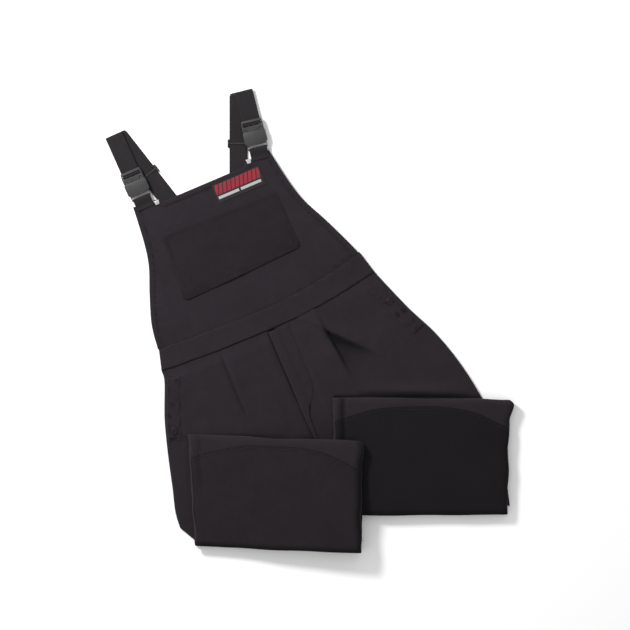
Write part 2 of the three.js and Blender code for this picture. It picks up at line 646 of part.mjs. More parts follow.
// Loop of webbing round the socket's bar, sewn into the corner of the bib.
function makeAnchor(group, side, endY) {
  const barMiddle = (SOCKET_BAR_TOP + SOCKET_BAR_END) / 2;
  const insideY = SOCKET_BAR.length / 2 + RUN_CLEAR;
  const insideZ = SOCKET_BAR.thick / 2 + RUN_CLEAR;
  const [y0, y1] = [barMiddle - insideY - WEB, barMiddle + insideY + WEB];
  const [z0, z1] = [BUCKLE_MIDDLE - insideZ - WEB, BUCKLE_MIDDLE + insideZ + WEB];
  const round = 1;
  const bibFloor = plyFloor(1);
  const shape = outline([
    [endY, bibFloor + 0.1], [y0 + 3, z0], [y1 - round, z0], [y1, z0 + round], [y1, z1 - round],
    [y1 - round, z1], [y0 + round, z1], [endY, bibFloor + PLY - 0.1],
  ]);
  shape.holes.push(new THREE.Path([
    [barMiddle - insideY, BUCKLE_MIDDLE - insideZ], [barMiddle - insideY, BUCKLE_MIDDLE + insideZ],
    [barMiddle + insideY, BUCKLE_MIDDLE + insideZ], [barMiddle + insideY, BUCKLE_MIDDLE - insideZ],
  ].map(([y, z]) => new THREE.Vector2(y, z))));
  return alongX(shape, -HALF_WEB, HALF_WEB);
}

// Back run in the bib's frame: it starts under the turn and ends on the back panel's top edge.
function backRunPlan(fold, frontLean, backLean) {
  const across = WEB_WIDTH / (2 * Math.cos(backLean - frontLean));
  const start = [-1, 1].map((s) => [
    fold[0] + s * across * Math.cos(frontLean), fold[1] + s * across * Math.sin(frontLean),
  ]);
  const end = start.map(([x, y]) => {
    const drop = y - BACK_TOP_Y - GAP;
    return [x + drop * Math.tan(backLean), BACK_TOP_Y + GAP];
  });
  return [start[0], end[0], end[1], start[1]];
}

function makeAdjuster(group, side) {
  const inner = HALF_WEB + 0.5;
  const outer = inner + ADJUSTER_RAIL;
  const half = ADJUSTER_LENGTH / 2;
  const roof = ADJUSTER_ROOF;
  const rails = [-1, 1].map((s) => block(
    Math.min(s * inner, s * outer), Math.max(s * inner, s * outer), -half, half, 0, roof,
  ));
  const ends = [-half, half - ADJUSTER_BAR].map((y) => block(
    -outer, outer, y, y + ADJUSTER_BAR, 0, ADJUSTER_PLATE,
  ));
  const bridge = block(-outer, outer, -ADJUSTER_BAR / 2, ADJUSTER_BAR / 2,
    roof - ADJUSTER_BRIDGE, roof);
  add(group, `${side}_strap_adjuster`, join(...rails, ...ends, bridge), finish(0x262326, 0.5));
}

const bibSolidForCut = () => sheet(bibOutline(), -1, 30);

function makeStrap(bib, { side, sign, frontLean, backLean, foldY, drift }) {
  const [x, y] = [sign * STRAP_SPREAD + STRAP_MIDDLE, BUCKLE_Y];
  const strap = new THREE.Group();
  strap.position.set(x, y, 0);
  strap.rotation.z = frontLean;
  bib.add(strap);
  makeSocket(strap, side);
  makePlug(strap, side);
  makeProng(strap, side, 'inner', -sign);
  makeProng(strap, side, 'outer', sign);
  makeFrontRun(strap, side, foldY);

  // the anchor reaches the bib's hem, so it is trimmed by the bib with air between them
  const place = new THREE.Matrix4().makeRotationZ(frontLean).setPosition(x, y, 0);
  const back = place.clone().invert();
  const hem = bibSolidForCut().translate(0, GAP, 0).applyMatrix4(back);
  const reach = TAB_HEIGHT - BUCKLE_Y - 6;
  add(strap, `${side}_strap_anchor`, cut(makeAnchor(strap, side, reach), hem), webbing());

  const clipX = -sign * (HALF_WEB + CLIP.fromWeb);
  const clip = sheet([
    [clipX - CLIP.width / 2, -CLIP.below], [clipX + CLIP.width / 2, -CLIP.below],
    [clipX + CLIP.width / 2 - 1.5, -CLIP.below - CLIP.length],
    [clipX - CLIP.width / 2 + 1.5, -CLIP.below - CLIP.length],
  ].reverse(), plyFloor(2), CLIP.thick);
  add(strap, `${side}_anchor_clip`, clip, finish(0xb9b6b4, 0.35, 0.7));

  const foldFoot = foldY - FOLD_RADIUS - GAP;
  const [across, up] = [Math.cos(frontLean), Math.sin(frontLean)];
  const fold = [x - foldFoot * up + drift * across, y + foldFoot * across + drift * up];
  const plan = backRunPlan(fold, frontLean, backLean);
  add(bib, `${side}_strap_back_run`, sheet(plan, WEB_FLOOR, WEB), webbing());

  const adjuster = new THREE.Group();
  adjuster.position.set(
    fold[0] + ADJUSTER_FROM_FOLD * Math.sin(backLean),
    fold[1] - ADJUSTER_FROM_FOLD * Math.cos(backLean), 0,
  );
  adjuster.rotation.z = backLean;
  bib.add(adjuster);
  makeAdjuster(adjuster, side);
}

// ---- the garment --------------------------------------------------------------------------

const garment = new THREE.Group();
const bib = new THREE.Group();
bib.position.set(BIB_PLACE[0], BIB_PLACE[1], 0);
bib.rotation.z = BIB_TURN;
garment.add(bib);

makeBib(bib);
makeFly(bib);
makeLeg(garment, 'right', RIGHT_PACKET, rightThigh, lifted);
makeLeg(garment, 'left', LEFT_PACKET, leftThigh, (geometry) => geometry);
makeHipOpening(garment, 'right', rightHip, -1);
makeHipOpening(garment, 'left', leftHip, 1);
makeStrap(bib, { side: 'right', sign: -1, frontLean: 1 * DEG, backLean: 15 * DEG, foldY: 117, drift: 8 });
makeStrap(bib, { side: 'left', sign: 1, frontLean: -9 * DEG, backLean: -23 * DEG, foldY: 97, drift: -12 });

// the middle of the whole garment comes over the origin
const middle = new THREE.Box3().setFromObject(garment, true).getCenter(new THREE.Vector3());
garment.position.set(-middle.x, -middle.y, 0);

export default garment;
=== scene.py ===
"""Bib-and-brace work overalls, laid on their back, the legs folded up into two packets.

The lengths are in millimetres, in the garment's own frame, until a piece is finished.
Right and left are the wearer's: the garment lies face up, so its right is at -X.
"""

import math

import bmesh
import bpy
import numpy as np
from mathutils import Matrix, Vector, noise


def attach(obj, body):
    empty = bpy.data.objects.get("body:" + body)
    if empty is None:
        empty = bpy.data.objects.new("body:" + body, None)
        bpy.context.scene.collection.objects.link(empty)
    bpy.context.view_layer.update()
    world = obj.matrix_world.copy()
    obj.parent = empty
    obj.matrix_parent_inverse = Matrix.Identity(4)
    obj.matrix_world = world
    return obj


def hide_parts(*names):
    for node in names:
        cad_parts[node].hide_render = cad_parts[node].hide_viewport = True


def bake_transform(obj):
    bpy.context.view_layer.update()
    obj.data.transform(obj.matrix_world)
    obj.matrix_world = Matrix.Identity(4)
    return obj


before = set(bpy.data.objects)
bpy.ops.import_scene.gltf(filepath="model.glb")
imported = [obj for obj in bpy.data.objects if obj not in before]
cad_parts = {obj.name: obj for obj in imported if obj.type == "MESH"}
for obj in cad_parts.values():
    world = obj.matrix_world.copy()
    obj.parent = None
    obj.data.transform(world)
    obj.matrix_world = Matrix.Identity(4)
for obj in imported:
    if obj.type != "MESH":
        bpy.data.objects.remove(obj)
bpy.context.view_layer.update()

# ---- measures -----------------------------------------------------------------------------

MM = 0.001
GARMENT = Matrix.Scale(MM, 4) @ Matrix.Translation((6.712, -0.765, 0))
BIB_PLACE = Vector((-86, -18, 0))
BIB_TURN = math.radians(23)
BIB_IN_GARMENT = Matrix.Translation(BIB_PLACE) @ Matrix.Rotation(BIB_TURN, 4, "Z")
BIB = GARMENT @ BIB_IN_GARMENT
TO_BIB = BIB_IN_GARMENT.inverted()

GAP = 0.35
PLY = 2.6
PITCH = PLY + GAP
PLIES = 8  # in each folded packet
TWILL = 1.9  # thickness of a sheet of twill as it shows
PATCH = 1.3

WAIST_WIDTH = 494
BAND_WIDTH = 468  # at its upper seam
BAND_HEIGHT = 47
WAIST_RISE = (9, 27)  # how far the waist seam climbs towards the right and left sides
BAND_TOP_RISE = (8, 31)
ALLOWANCE = 6  # cloth tucked under the waistband at both seams
BIB_HEIGHT = 337
TAB_HEIGHT = 350
BIB_TOP_WIDTH = 310
CHEST_WIDTH = 331
ARMPIT_WIDTH = 448
ARMPIT_Y = 108
TAB_WIDTH = 52
BIB_SKEW = -12  # how far the upper hem leans sideways
BACK_TOP_Y = 250
BACK_TOP_WIDTH = 190

FLY_EDGE = -8
PLACKET_WIDTH = 44

WEB_WIDTH = 38
WEB = 1.7
WEB_FLOOR = 0.9
STRAP_SPREAD = 135.5
STRAP_MIDDLE = -8
BUCKLE_Y = 390
BUCKLE_MIDDLE = 9.1
FOLD_RADIUS = 3.35
CROSS_BAR_Y = 23.9
CROSS_BAR_Z = 9.3


def ply_floor(count):
    return count * PITCH


def mid_ply(count):
    return count * PITCH + PLY / 2


# ---- small sums ---------------------------------------------------------------------------


def step(low, high, value):
    """Rises smoothly from 0 at low to 1 at high."""
    t = min(max((value - low) / (high - low), 0.0), 1.0)
    return t * t * (3 - 2 * t)


def rim_drop(distance, reach):
    """A quarter round: 1 at the edge of the cloth, 0 from reach inwards."""
    t = min(max(1 - distance / reach, 0.0), 1.0)
    return 1 - math.sqrt(1 - t * t)


def bell(offset, width):
    """A soft bump: 1 where the offset is 0, next to nothing from twice the width."""
    return math.exp(-(offset / width) ** 2)


def rumple(x, y, size, seed):
    """Smooth unevenness between about -1 and 1, the same on every run."""
    return noise.noise(Vector((x / size, y / size, seed * 7.31))) * 1.6


def beside(x, y, start, end):
    """(how far along the line, as a share; how far to its right, in mm)."""
    dx, dy = end[0] - start[0], end[1] - start[1]
    length = math.hypot(dx, dy)
    along = ((x - start[0]) * dx + (y - start[1]) * dy) / length**2
    across = ((x - start[0]) * dy - (y - start[1]) * dx) / length
    return along, across


def smooth_line(points, steps):
    """A smooth line through the points."""
    line = []
    last = len(points) - 1
    for i in range(steps + 1):
        place = last * i / steps
        k = min(int(place), last - 1)
        t = place - k
        a, b = points[max(k - 1, 0)], points[k]
        c, d = points[k + 1], points[min(k + 2, last)]
        line.append(tuple(
            0.5 * (2 * b[n] + (c[n] - a[n]) * t + (2 * a[n] - 5 * b[n] + 4 * c[n] - d[n]) * t * t
                   + (3 * b[n] - a[n] - 3 * c[n] + d[n]) * t**3)
            for n in range(2)))
    return line


def mirrored(points):
    return [(-x, y) for x, y in reversed(points)]


def leaned(points):
    return [(x + BIB_SKEW * y / BIB_HEIGHT, y) for x, y in points]


def offset_line(points, distance):
    """The same line moved towards the right of its direction."""
    moved = []
    for i, (x, y) in enumerate(points):
        ax, ay = points[max(i - 1, 0)]
        bx, by = points[min(i + 1, len(points) - 1)]
        length = math.hypot(bx - ax, by - ay) or 1
        moved.append((x + (by - ay) / length * distance, y - (bx - ax) / length * distance))
    return moved


def along_line(points, spacing):
    """Evenly spaced points on a line, in two or three dimensions."""
    points = [Vector(p) for p in points]
    marks = [0.0]
    for a, b in zip(points, points[1:]):
        marks.append(marks[-1] + (b - a).length)
    count = max(int(round(marks[-1] / spacing)), 1)
    found, k = [], 0
    for i in range(count + 1):
        goal = marks[-1] * i / count
        while k < len(points) - 2 and marks[k + 1] < goal:
            k += 1
        share = (goal - marks[k]) / max(marks[k + 1] - marks[k], 1e-9)
        found.append(points[k].lerp(points[k + 1], share))
    return found


def piece_of_line(points, start, end, spacing=6):
    """The stretch of a line between two distances along it."""
    fine = along_line(points, 1)
    part = fine[int(start):int(end) + 1]
    return [tuple(p) for p in along_line(part, spacing)]


def from_bib(x, y):
    p = BIB_IN_GARMENT @ Vector((x, y, 0))
    return p.x, p.y


def to_bib(x, y):
    p = TO_BIB @ Vector((x, y, 0))
    return p.x, p.y


# ---- finishes -----------------------------------------------------------------------------


class Shade:
    """A number that varies over the surface; sums on it add Math nodes."""

    def __init__(self, finish, socket):
        self.finish = finish
        self.socket = socket

    def sum(self, operation, *values):
        return self.finish.node("ShaderNodeMath", {"operation": operation}, *values)

    def __add__(self, other):
        return self.sum("ADD", self, other)

    def __radd__(self, other):
        return self.sum("ADD", other, self)

    def __sub__(self, other):
        return self.sum("SUBTRACT", self, other)

    def __rsub__(self, other):
        return self.sum("SUBTRACT", other, self)

    def __mul__(self, other):
        return self.sum("MULTIPLY", self, other)

    def __rmul__(self, other):
        return self.sum("MULTIPLY", other, self)

    def __mod__(self, other):
        return self.sum("FLOORED_MODULO", self, other)

    def __gt__(self, other):
        return self.sum("GREATER_THAN", self, other)

    def __lt__(self, other):
        return self.sum("LESS_THAN", self, other)

    def wave(self):
        return self.sum("SINE", self)

    def held(self):
        """Kept between 0 and 1."""
        found = self.sum("MULTIPLY", self, 1.0)
        found.socket.node.use_clamp = True
        return found


class Finish:
    """One procedural material, with its Principled shader's constants set directly."""

    def __init__(self, name, **constants):
        self.material = bpy.data.materials.new(name)
        self.material.use_nodes = True
        self.tree = self.material.node_tree
        self.shader = self.tree.nodes["Principled BSDF"]
        for label, value in constants.items():
            self.shader.inputs[label.replace("_", " ")].default_value = value

    def node(self, kind, settings=None, *values, out=0, **named):
        made = self.tree.nodes.new(kind)
        for key, value in (settings or {}).items():
            setattr(made, key, value)
        inputs = list(enumerate(values)) + [(k.replace("_", " "), v) for k, v in named.items()]
        for key, value in inputs:
            socket = made.inputs[key]
            if isinstance(value, Shade):
                self.tree.links.new(value.socket, socket)
            else:
                socket.default_value = value
        return Shade(self, made.outputs[out])

    def feed(self, label, value):
        self.tree.links.new(value.socket, self.shader.inputs[label])

    def mottle(self, where, scale, detail=3.0, roughness=0.55):
        return self.node("ShaderNodeTexNoise", None, out="Fac", Vector=where, Scale=scale,
                         Detail=detail, Roughness=roughness)

    def mix(self, share, one, other):
        """A colour between one and other."""
        made = self.tree.nodes.new("ShaderNodeMix")
        made.data_type = "RGBA"
        for index, value in ((0, share), (6, one), (7, other)):
            if isinstance(value, Shade):
                self.tree.links.new(value.socket, made.inputs[index])
            else:
                made.inputs[index].default_value = value
        return Shade(self, made.outputs[2])

    def relief(self, height, strength, distance):
        bump = self.node("ShaderNodeBump", None, out="Normal", Strength=strength,
                         Distance=distance, Height=height)
        self.feed("Normal", bump)

    def cloth_place(self):
        """Across, along and the painted light and wear value, as each piece of cloth carries them, in
        millimetres.
        """
        place = self.node("ShaderNodeAttribute", {"attribute_name": "cloth"}, out="Vector")
        parts = self.tree.nodes.new("ShaderNodeSeparateXYZ")
        self.tree.links.new(place.socket, parts.inputs[0])
        return place, *(Shade(self, parts.outputs[k]) for k in range(3))

    def object_place(self):
        return self.node("ShaderNodeTexCoord", None, out="Object")


def grey(level, red=0.0, blue=0.0):
    return (level * (1 + red), level, level * (1 + blue), 1)


def twill_finish(name, dark, light, tint=0.3):
    """Brushed cotton and polyester twill: fine diagonal ribs; the cloth's third value paints it paler
    (wear where it rubs, painted highlights) and darker (painted shade).
    """
    finish = Finish(name, Roughness=0.9, Sheen_Weight=0.06, Sheen_Roughness=0.5)
    finish.shader.inputs["Specular IOR Level"].default_value = 0.12
    place, across, along, painted_light_and_wear = finish.cloth_place()
    cloud = finish.mottle(place, 0.011, 4.0, 0.6)
    patch = finish.mottle(place, 0.06, 3.0, 0.6)
    lint = finish.mottle(place, 0.9, 2.0, 0.7)
    ribs = ((across + along * 0.62) * (2 * math.pi / 1.15)).wave() * 0.5 + 0.5
    yarns = ((along - across * 0.35) * (2 * math.pi / 0.8)).wave() * 0.5 + 0.5
    tone = ((cloud - 0.5) * 0.55 + (patch - 0.5) * 0.4 + (lint - 0.5) * 0.5
            + (ribs - 0.5) * 0.25 + 0.45)
    # values above 0 paint the cloth paler: wear at rubbed edges and painted highlights
    tone = (tone + (painted_light_and_wear > 0.0) * painted_light_and_wear * 0.8).held()
    body = finish.mix(tone, grey(dark, tint, tint * 0.87), grey(light, tint, tint * 0.87))
    # values below 0 are painted shade: the cloth is mixed towards near-black
    shadow = (0.0 - painted_light_and_wear).held()
    finish.feed("Base Color", finish.mix(shadow, body, grey(dark * 0.25, tint, tint)))
    finish.feed("Roughness", 0.84 + lint * 0.14)
    finish.relief(ribs * 0.6 + yarns * 0.25 + lint * 0.8, 0.45, 0.00035)
    return finish.material


def webbing_finish():
    """Ribbed strap webbing with a smooth selvedge."""
    finish = Finish("strap_webbing", Roughness=0.8, Sheen_Weight=0.08)
    finish.shader.inputs["Specular IOR Level"].default_value = 0.2
    place, across, along, painted_light_and_wear = finish.cloth_place()
    cords = (across * (2 * math.pi / 2.6)).wave() * 0.5 + 0.5
    picks = ((along + (cords > 0.5) * 0.8) * (2 * math.pi / 1.6)).wave() * 0.5 + 0.5
    fuzz = finish.mottle(place, 0.7, 3.0)
    cloud = finish.mottle(place, 0.03, 3.0)
    # the cloth value paints the strap's rims paler, a painted highlight
    tone = (cords * 0.35 + picks * 0.3 + (fuzz - 0.5) * 0.5 + (cloud - 0.5) * 0.6 + painted_light_and_wear * 0.3).held()
    finish.feed("Base Color", finish.mix(tone, grey(0.004, 0.3, 0.25), grey(0.014, 0.3, 0.25)))
    finish.feed("Roughness", 0.72 + fuzz * 0.2)
    finish.relief(cords * 0.8 + picks * 0.5 + fuzz * 0.3, 0.6, 0.0005)
    return finish.material


def plastic_finish(name, dark, light, roughness):
    """Moulded acetal: a faint spark-eroded grain and a soft, uneven tone."""
    finish = Finish(name, Roughness=roughness)
    finish.shader.inputs["Specular IOR Level"].default_value = 0.35
    place = finish.object_place()
    grain = finish.mottle(place, 1800.0, 2.0)
    cloud = finish.mottle(place, 60.0, 3.0)
    tone = ((cloud - 0.5) * 1.2 + (grain - 0.5) * 0.3 + 0.5).held()
    finish.feed("Base Color", finish.mix(tone, grey(dark, 0.05, 0.02), grey(light, 0.05, 0.02)))
    finish.feed("Roughness", (grain - 0.5) * 0.15 + roughness)
    finish.relief(grain, 0.15, 0.0002)
    return finish.material


def metal_finish(name, colour, worn, roughness):
    """Plated metal with fine scratches and a dulled skin."""
    finish = Finish(name, Metallic=1.0, Roughness=roughness)
    place = finish.object_place()
    cloud = finish.mottle(place, 220.0, 4.0)
    scratch = finish.mottle(place, 1500.0, 2.0, 0.8)
    share = ((cloud - 0.4) * 1.6 + (scratch - 0.5) * 0.6).held()
    finish.feed("Base Color", finish.mix(share, colour, worn))
    finish.feed("Roughness", (cloud - 0.5) * 0.25 + roughness)
    finish.relief(scratch, 0.12, 0.0001)
    return finish.material


def label_finish():
    """Woven patch: a red hatched band over a pale broken line, on the cloth's own dark."""
    finish = Finish("woven_patch", Roughness=0.75, Sheen_Weight=0.1)
    finish.shader.inputs["Specular IOR Level"].default_value = 0.2
    place, across, along, _ = finish.cloth_place()
    slant = (across - along * 0.35) % 9.5
    inner = (slant > 2.2) * (along > 18.0) * (along < 39.5) * (across > 3.5) * (across < 105.0)
    line = (along > 8.5) * (along < 14.5) * (across > 4.5) * (across < 101.0)
    line = line * (1.0 - (across > 51.0) * (across < 55.0))
    picks = (along * (2 * math.pi / 0.9)).wave() * 0.5 + 0.5
    ends = (across * (2 * math.pi / 0.9)).wave() * 0.5 + 0.5
    fuzz = finish.mottle(place, 0.8, 3.0)
    ground = finish.mix(fuzz, grey(0.006, 0.2, 0.1), grey(0.016, 0.2, 0.1))
    red = finish.mix(picks * 0.5 + fuzz * 0.5, (0.10, 0.006, 0.012, 1), (0.30, 0.022, 0.035, 1))
    pale = finish.mix(picks * 0.5 + fuzz * 0.5, grey(0.22), grey(0.42))
    shown = finish.mix(inner, ground, red)
    finish.feed("Base Color", finish.mix(line, shown, pale))
    finish.feed("Roughness", 0.65 + fuzz * 0.2)
    finish.relief(picks * 0.5 + ends * 0.5 + (inner + line) * 0.8, 0.5, 0.0003)
    return finish.material


def thread_finish():
    finish = Finish("sewing_thread", Roughness=0.6)
    finish.shader.inputs["Specular IOR Level"].default_value = 0.3
    place = finish.object_place()
    twist = finish.mottle(place, 2400.0, 2.0)
    finish.feed("Base Color", finish.mix(twist, grey(0.007, 0.2, 0.16), grey(0.017, 0.2, 0.16)))
    finish.feed("Roughness", 0.5 + twist * 0.25)
    finish.relief(twist, 0.3, 0.0001)
    return finish.material


TWILL_CLOTH = twill_finish("black_twill", 0.0068, 0.0165)
POCKET_CLOTH = twill_finish("black_twill_heavy", 0.0052, 0.0128)
# a darker copy of the black twill: painted shade for the left knee patch
SHADED_TWILL_CLOTH = twill_finish("black_twill_painted_shade", 0.0026, 0.0066)
WEBBING = webbing_finish()
ACETAL = plastic_finish("grey_acetal", 0.018, 0.031, 0.45)
BLACK_ACETAL = plastic_finish("black_acetal", 0.008, 0.016, 0.45)
DARK_METAL = metal_finish("blackened_metal", grey(0.017, 0.2, 0.15), grey(0.034, 0.2, 0.15), 0.6)
BRIGHT_METAL = metal_finish("nickel", grey(0.55, 0.02, -0.02), grey(0.75), 0.32)
BRASS = metal_finish("zip_brass", (0.40, 0.27, 0.10, 1), (0.55, 0.42, 0.20, 1), 0.35)
LABEL = label_finish()
THREAD = thread_finish()
ZIP_TAPE = twill_finish("zip_tape", 0.006, 0.014)


# ---- making pieces ------------------------------------------------------------------------


def cloth_layer(bm):
    return bm.verts.layers.float_vector.get("cloth") or bm.verts.layers.float_vector.new("cloth")


def make_piece(name, bm, place, material, body="garment", stands_for=(), sharp=35):
    """Turns the finished bmesh into an object in the row frame, riding on its body."""
    bm.transform(place)
    mesh = bpy.data.meshes.new(name)
    bm.to_mesh(mesh)
    bm.free()
    mesh.materials.append(material)
    mesh.polygons.foreach_set("use_smooth", [True] * len(mesh.polygons))
    mesh.set_sharp_from_angle(angle=math.radians(sharp))
    piece = bpy.data.objects.new(name, mesh)
    bpy.context.scene.collection.objects.link(piece)
    if body:
        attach(piece, body)
    if stands_for:
        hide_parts(*stands_for)
    return piece


def rule_across(bm, axis, low, high, spacing):
    """Cuts the flat cloth along straight lines, one after the other."""
    normal = Vector((1, 0, 0)) if axis == 0 else Vector((0, 1, 0))
    rest = bm.faces[:]
    count = int((high - low) / spacing)
    for i in range(1, count + 1):
        stop = low + (high - low) * i / (count + 1)
        edges = {e for f in rest for e in f.edges}
        verts = {v for f in rest for v in f.verts}
        cut = bmesh.ops.bisect_plane(bm, geom=list(verts) + list(edges) + rest, dist=1e-4,
                                     plane_co=normal * stop, plane_no=normal)
        faces = [f for f in cut["geom"] if isinstance(f, bmesh.types.BMFace)]
        rest = [f for f in faces if f.calc_center_median()[axis] > stop]


def edge_distances(points, outline):
    """How far each point lies from the outline, in the plane."""
    ring = np.array(outline, float)
    nearest = np.full(len(points), 1e9)
    for a, b in zip(ring, np.roll(ring, -1, axis=0)):
        d = b - a
        t = np.clip(((points - a) @ d) / max(d @ d, 1e-9), 0, 1)
        nearest = np.minimum(nearest, np.linalg.norm(points - (a + t[:, None] * d), axis=1))
    return nearest


def flat_cloth(outline, spacing, insets=(0.8,)):
    """A flat sheet with the outline, ruled into small squares; its rim has rows of its own."""
    bm = bmesh.new()
    cloth_layer(bm)
    face = bm.faces.new([bm.verts.new((x, y, 0)) for x, y in outline])
    for distance in insets:
        bmesh.ops.inset_region(bm, faces=[face], thickness=distance, use_even_offset=True)
    xs = [p[0] for p in outline]
    ys = [p[1] for p in outline]
    rule_across(bm, 0, min(xs), max(xs), spacing)
    rule_across(bm, 1, min(ys), max(ys), spacing)
    bmesh.ops.remove_doubles(bm, verts=bm.verts[:], dist=0.02)
    return bm


def thicken(bm, outline, top, thickness, rim=0.8, painted_light_and_wear=None, settle=None):
    """Gives flat cloth its height top(x, y, d), its thickness and rounded rims."""
    layer = cloth_layer(bm)
    under = bmesh.ops.extrude_face_region(bm, geom=bm.faces[:], use_keep_orig=True)
    lower = {v for v in under["geom"] if isinstance(v, bmesh.types.BMVert)}
    verts = bm.verts[:]
    distances = edge_distances(np.array([v.co.xy for v in verts]), outline)
    for v, d in zip(verts, distances):
        x, y = v.co.x, v.co.y
        thin = rim_drop(d, rim) * thickness * 0.32
        height = top(x, y, d) - thin
        if v in lower:
            height = top(x, y, d) - thickness + thin
        v[layer] = (x, y, painted_light_and_wear(x, y, d) if painted_light_and_wear else 0.0)
        v.co.z = height
        if settle:
            v.co = settle(x, y, height)
    bmesh.ops.recalc_face_normals(bm, faces=bm.faces[:])


def pour(few, bm):
    """Moves what the small bmesh holds into the large one."""
    mesh = bpy.data.meshes.new("few")
    few.to_mesh(mesh)
    bm.from_mesh(mesh)
    bpy.data.meshes.remove(mesh)
    few.clear()


def sew(bm, line, height, pitch=3.6, width=0.8, settle=None):
    """A row of stitches along a line, lying on the cloth."""
    few = bmesh.new()
    marks = along_line([(p[0], p[1], 0) for p in line], pitch)
    for a, b in zip(marks, marks[1:]):
        a, b = (Vector((p.x, p.y, height(p.x, p.y))) for p in (a, b))
        if settle:
            a, b = settle(a.x, a.y, a.z), settle(b.x, b.y, b.z)
        run = b - a
        if run.length < 0.5:
            continue
        turn = run.to_track_quat("X", "Z").to_matrix().to_4x4()
        size = Matrix.Diagonal((run.length * 0.8, width, width * 0.75, 1))
        bmesh.ops.create_uvsphere(few, u_segments=6, v_segments=4, radius=0.5,
                                  matrix=Matrix.Translation((a + b) / 2) @ turn @ size)
        if len(few.verts) > 500:
            pour(few, bm)
    pour(few, bm)
    few.free()


def stitching(name, rows, height, place, pitch=3.6, settle=None):
    """Rows of stitches as one piece."""
    bm = bmesh.new()
    for row in rows:
        sew(bm, row, height, pitch, settle=settle)
    return make_piece(name, bm, place, THREAD, sharp=180)


def sweep(bm, start, stops):
    """Draws a row of vertices out along X, stop by stop; gives all of its vertices."""
    edges = [bm.edges.new(pair) for pair in zip(start, start[1:])]
    verts = list(start)
    for before, after in zip(stops, stops[1:]):
        grown = bmesh.ops.extrude_edge_only(bm, edges=edges)["geom"]
        moved = [g for g in grown if isinstance(g, bmesh.types.BMVert)]
        edges = [g for g in grown if isinstance(g, bmesh.types.BMEdge)
                 and g.verts[0] in moved and g.verts[1] in moved]
        bmesh.ops.translate(bm, vec=(after - before, 0, 0), verts=moved)
        verts += moved
    return verts


def polygon_area(outline):
    total = 0
    for (ax, ay), (bx, by) in zip(outline, outline[1:] + outline[:1]):
        total += ax * by - bx * ay
    return abs(total) / 2


def cut_size(outline):
    """(width, length) and area of the flat cut, in metres."""
    xs = [p[0] for p in outline]
    ys = [p[1] for p in outline]
    width, length = (max(xs) - min(xs)) * MM, (max(ys) - min(ys)) * MM
    return (width, length), min(polygon_area(outline) * MM * MM, width * length)


def cloth_piece(name, outline, spacing, insets, top, thickness, place, material, node,
                rim=0.9, painted_light_and_wear=None, settle=None, flat=None):
    """A sheet of cloth cut to the outline, its top at the height top(x, y, d)."""
    bm = flat_cloth(outline, spacing, insets)
    thicken(bm, outline, top, thickness, rim, painted_light_and_wear, settle)
    piece = make_piece(name, bm, place, material, stands_for=[node])
    size, area = (flat, None) if flat else cut_size(outline)


def moulded_copy(node, name, material, bevel=0.4, segments=3, body="garment", angle=25):
    """A copy of a CAD node's mesh with its edges rounded, in place of the plain node."""
    bm = bmesh.new()
    bm.from_mesh(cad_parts[node].data)
    bmesh.ops.scale(bm, vec=(1000, 1000, 1000), verts=bm.verts[:])
    bmesh.ops.remove_doubles(bm, verts=bm.verts[:], dist=0.01)
    bmesh.ops.dissolve_limit(bm, angle_limit=math.radians(1), verts=bm.verts[:], edges=bm.edges[:])
    sharp = [e for e in bm.edges if e.is_manifold and e.calc_face_angle() > math.radians(angle)]
    bmesh.ops.bevel(bm, geom=sharp, offset=bevel, offset_type="OFFSET", affect="EDGES",
                    segments=segments, profile=0.5, material=-1, clamp_overlap=True)
    bmesh.ops.remove_doubles(bm, verts=bm.verts[:], dist=0.005)
    return make_piece(name, bm, Matrix.Scale(MM, 4), material, body=body, stands_for=[node],
                      sharp=50)


# ---- bib and waist ------------------------------------------------------------------------


def climb(x, rise, width):
    """Height of a curved seam above its middle."""
    return (rise[1] if x > 0 else rise[0]) * (2 * x / width) ** 2


def waist_low(x):
    return climb(x, WAIST_RISE, WAIST_WIDTH)


def band_top(x):
    return BAND_HEIGHT + climb(x, BAND_TOP_RISE, BAND_WIDTH)


def seam_line(width, height, raise_by, steps=36):
    """A line across the garment, at a height that changes with x."""
    xs = [width * (i / steps - 0.5) for i in range(steps + 1)]
    return [(x, height(x) + raise_by) for x in xs]


def panel_side(sign, points, steps):
    foot = (BAND_WIDTH / 2, band_top(sign * BAND_WIDTH / 2) + GAP)
    return leaned([(sign * x, y) for x, y in smooth_line([foot] + points, steps)])


ARMHOLE = [
    (ARMPIT_WIDTH / 2, ARMPIT_Y),
    (ARMPIT_WIDTH / 2 - 23, ARMPIT_Y + 60),
    (CHEST_WIDTH / 2 + 12, ARMPIT_Y + 115),
    (CHEST_WIDTH / 2, ARMPIT_Y + 165),
    (BIB_TOP_WIDTH / 2, TAB_HEIGHT),
]
TAB_INNER = BIB_TOP_WIDTH / 2 - TAB_WIDTH
BIB_HEM = [(TAB_INNER, TAB_HEIGHT - 4), (TAB_INNER - 12, BIB_HEIGHT)]
LEFT_OF_BIB = panel_side(1, ARMHOLE, 40) + leaned(BIB_HEM)
RIGHT_OF_BIB = leaned(mirrored(BIB_HEM)) + panel_side(-1, ARMHOLE, 40)[::-1]
BIB_OUTLINE = seam_line(BAND_WIDTH, band_top, -ALLOWANCE)[1:-1] + LEFT_OF_BIB + RIGHT_OF_BIB


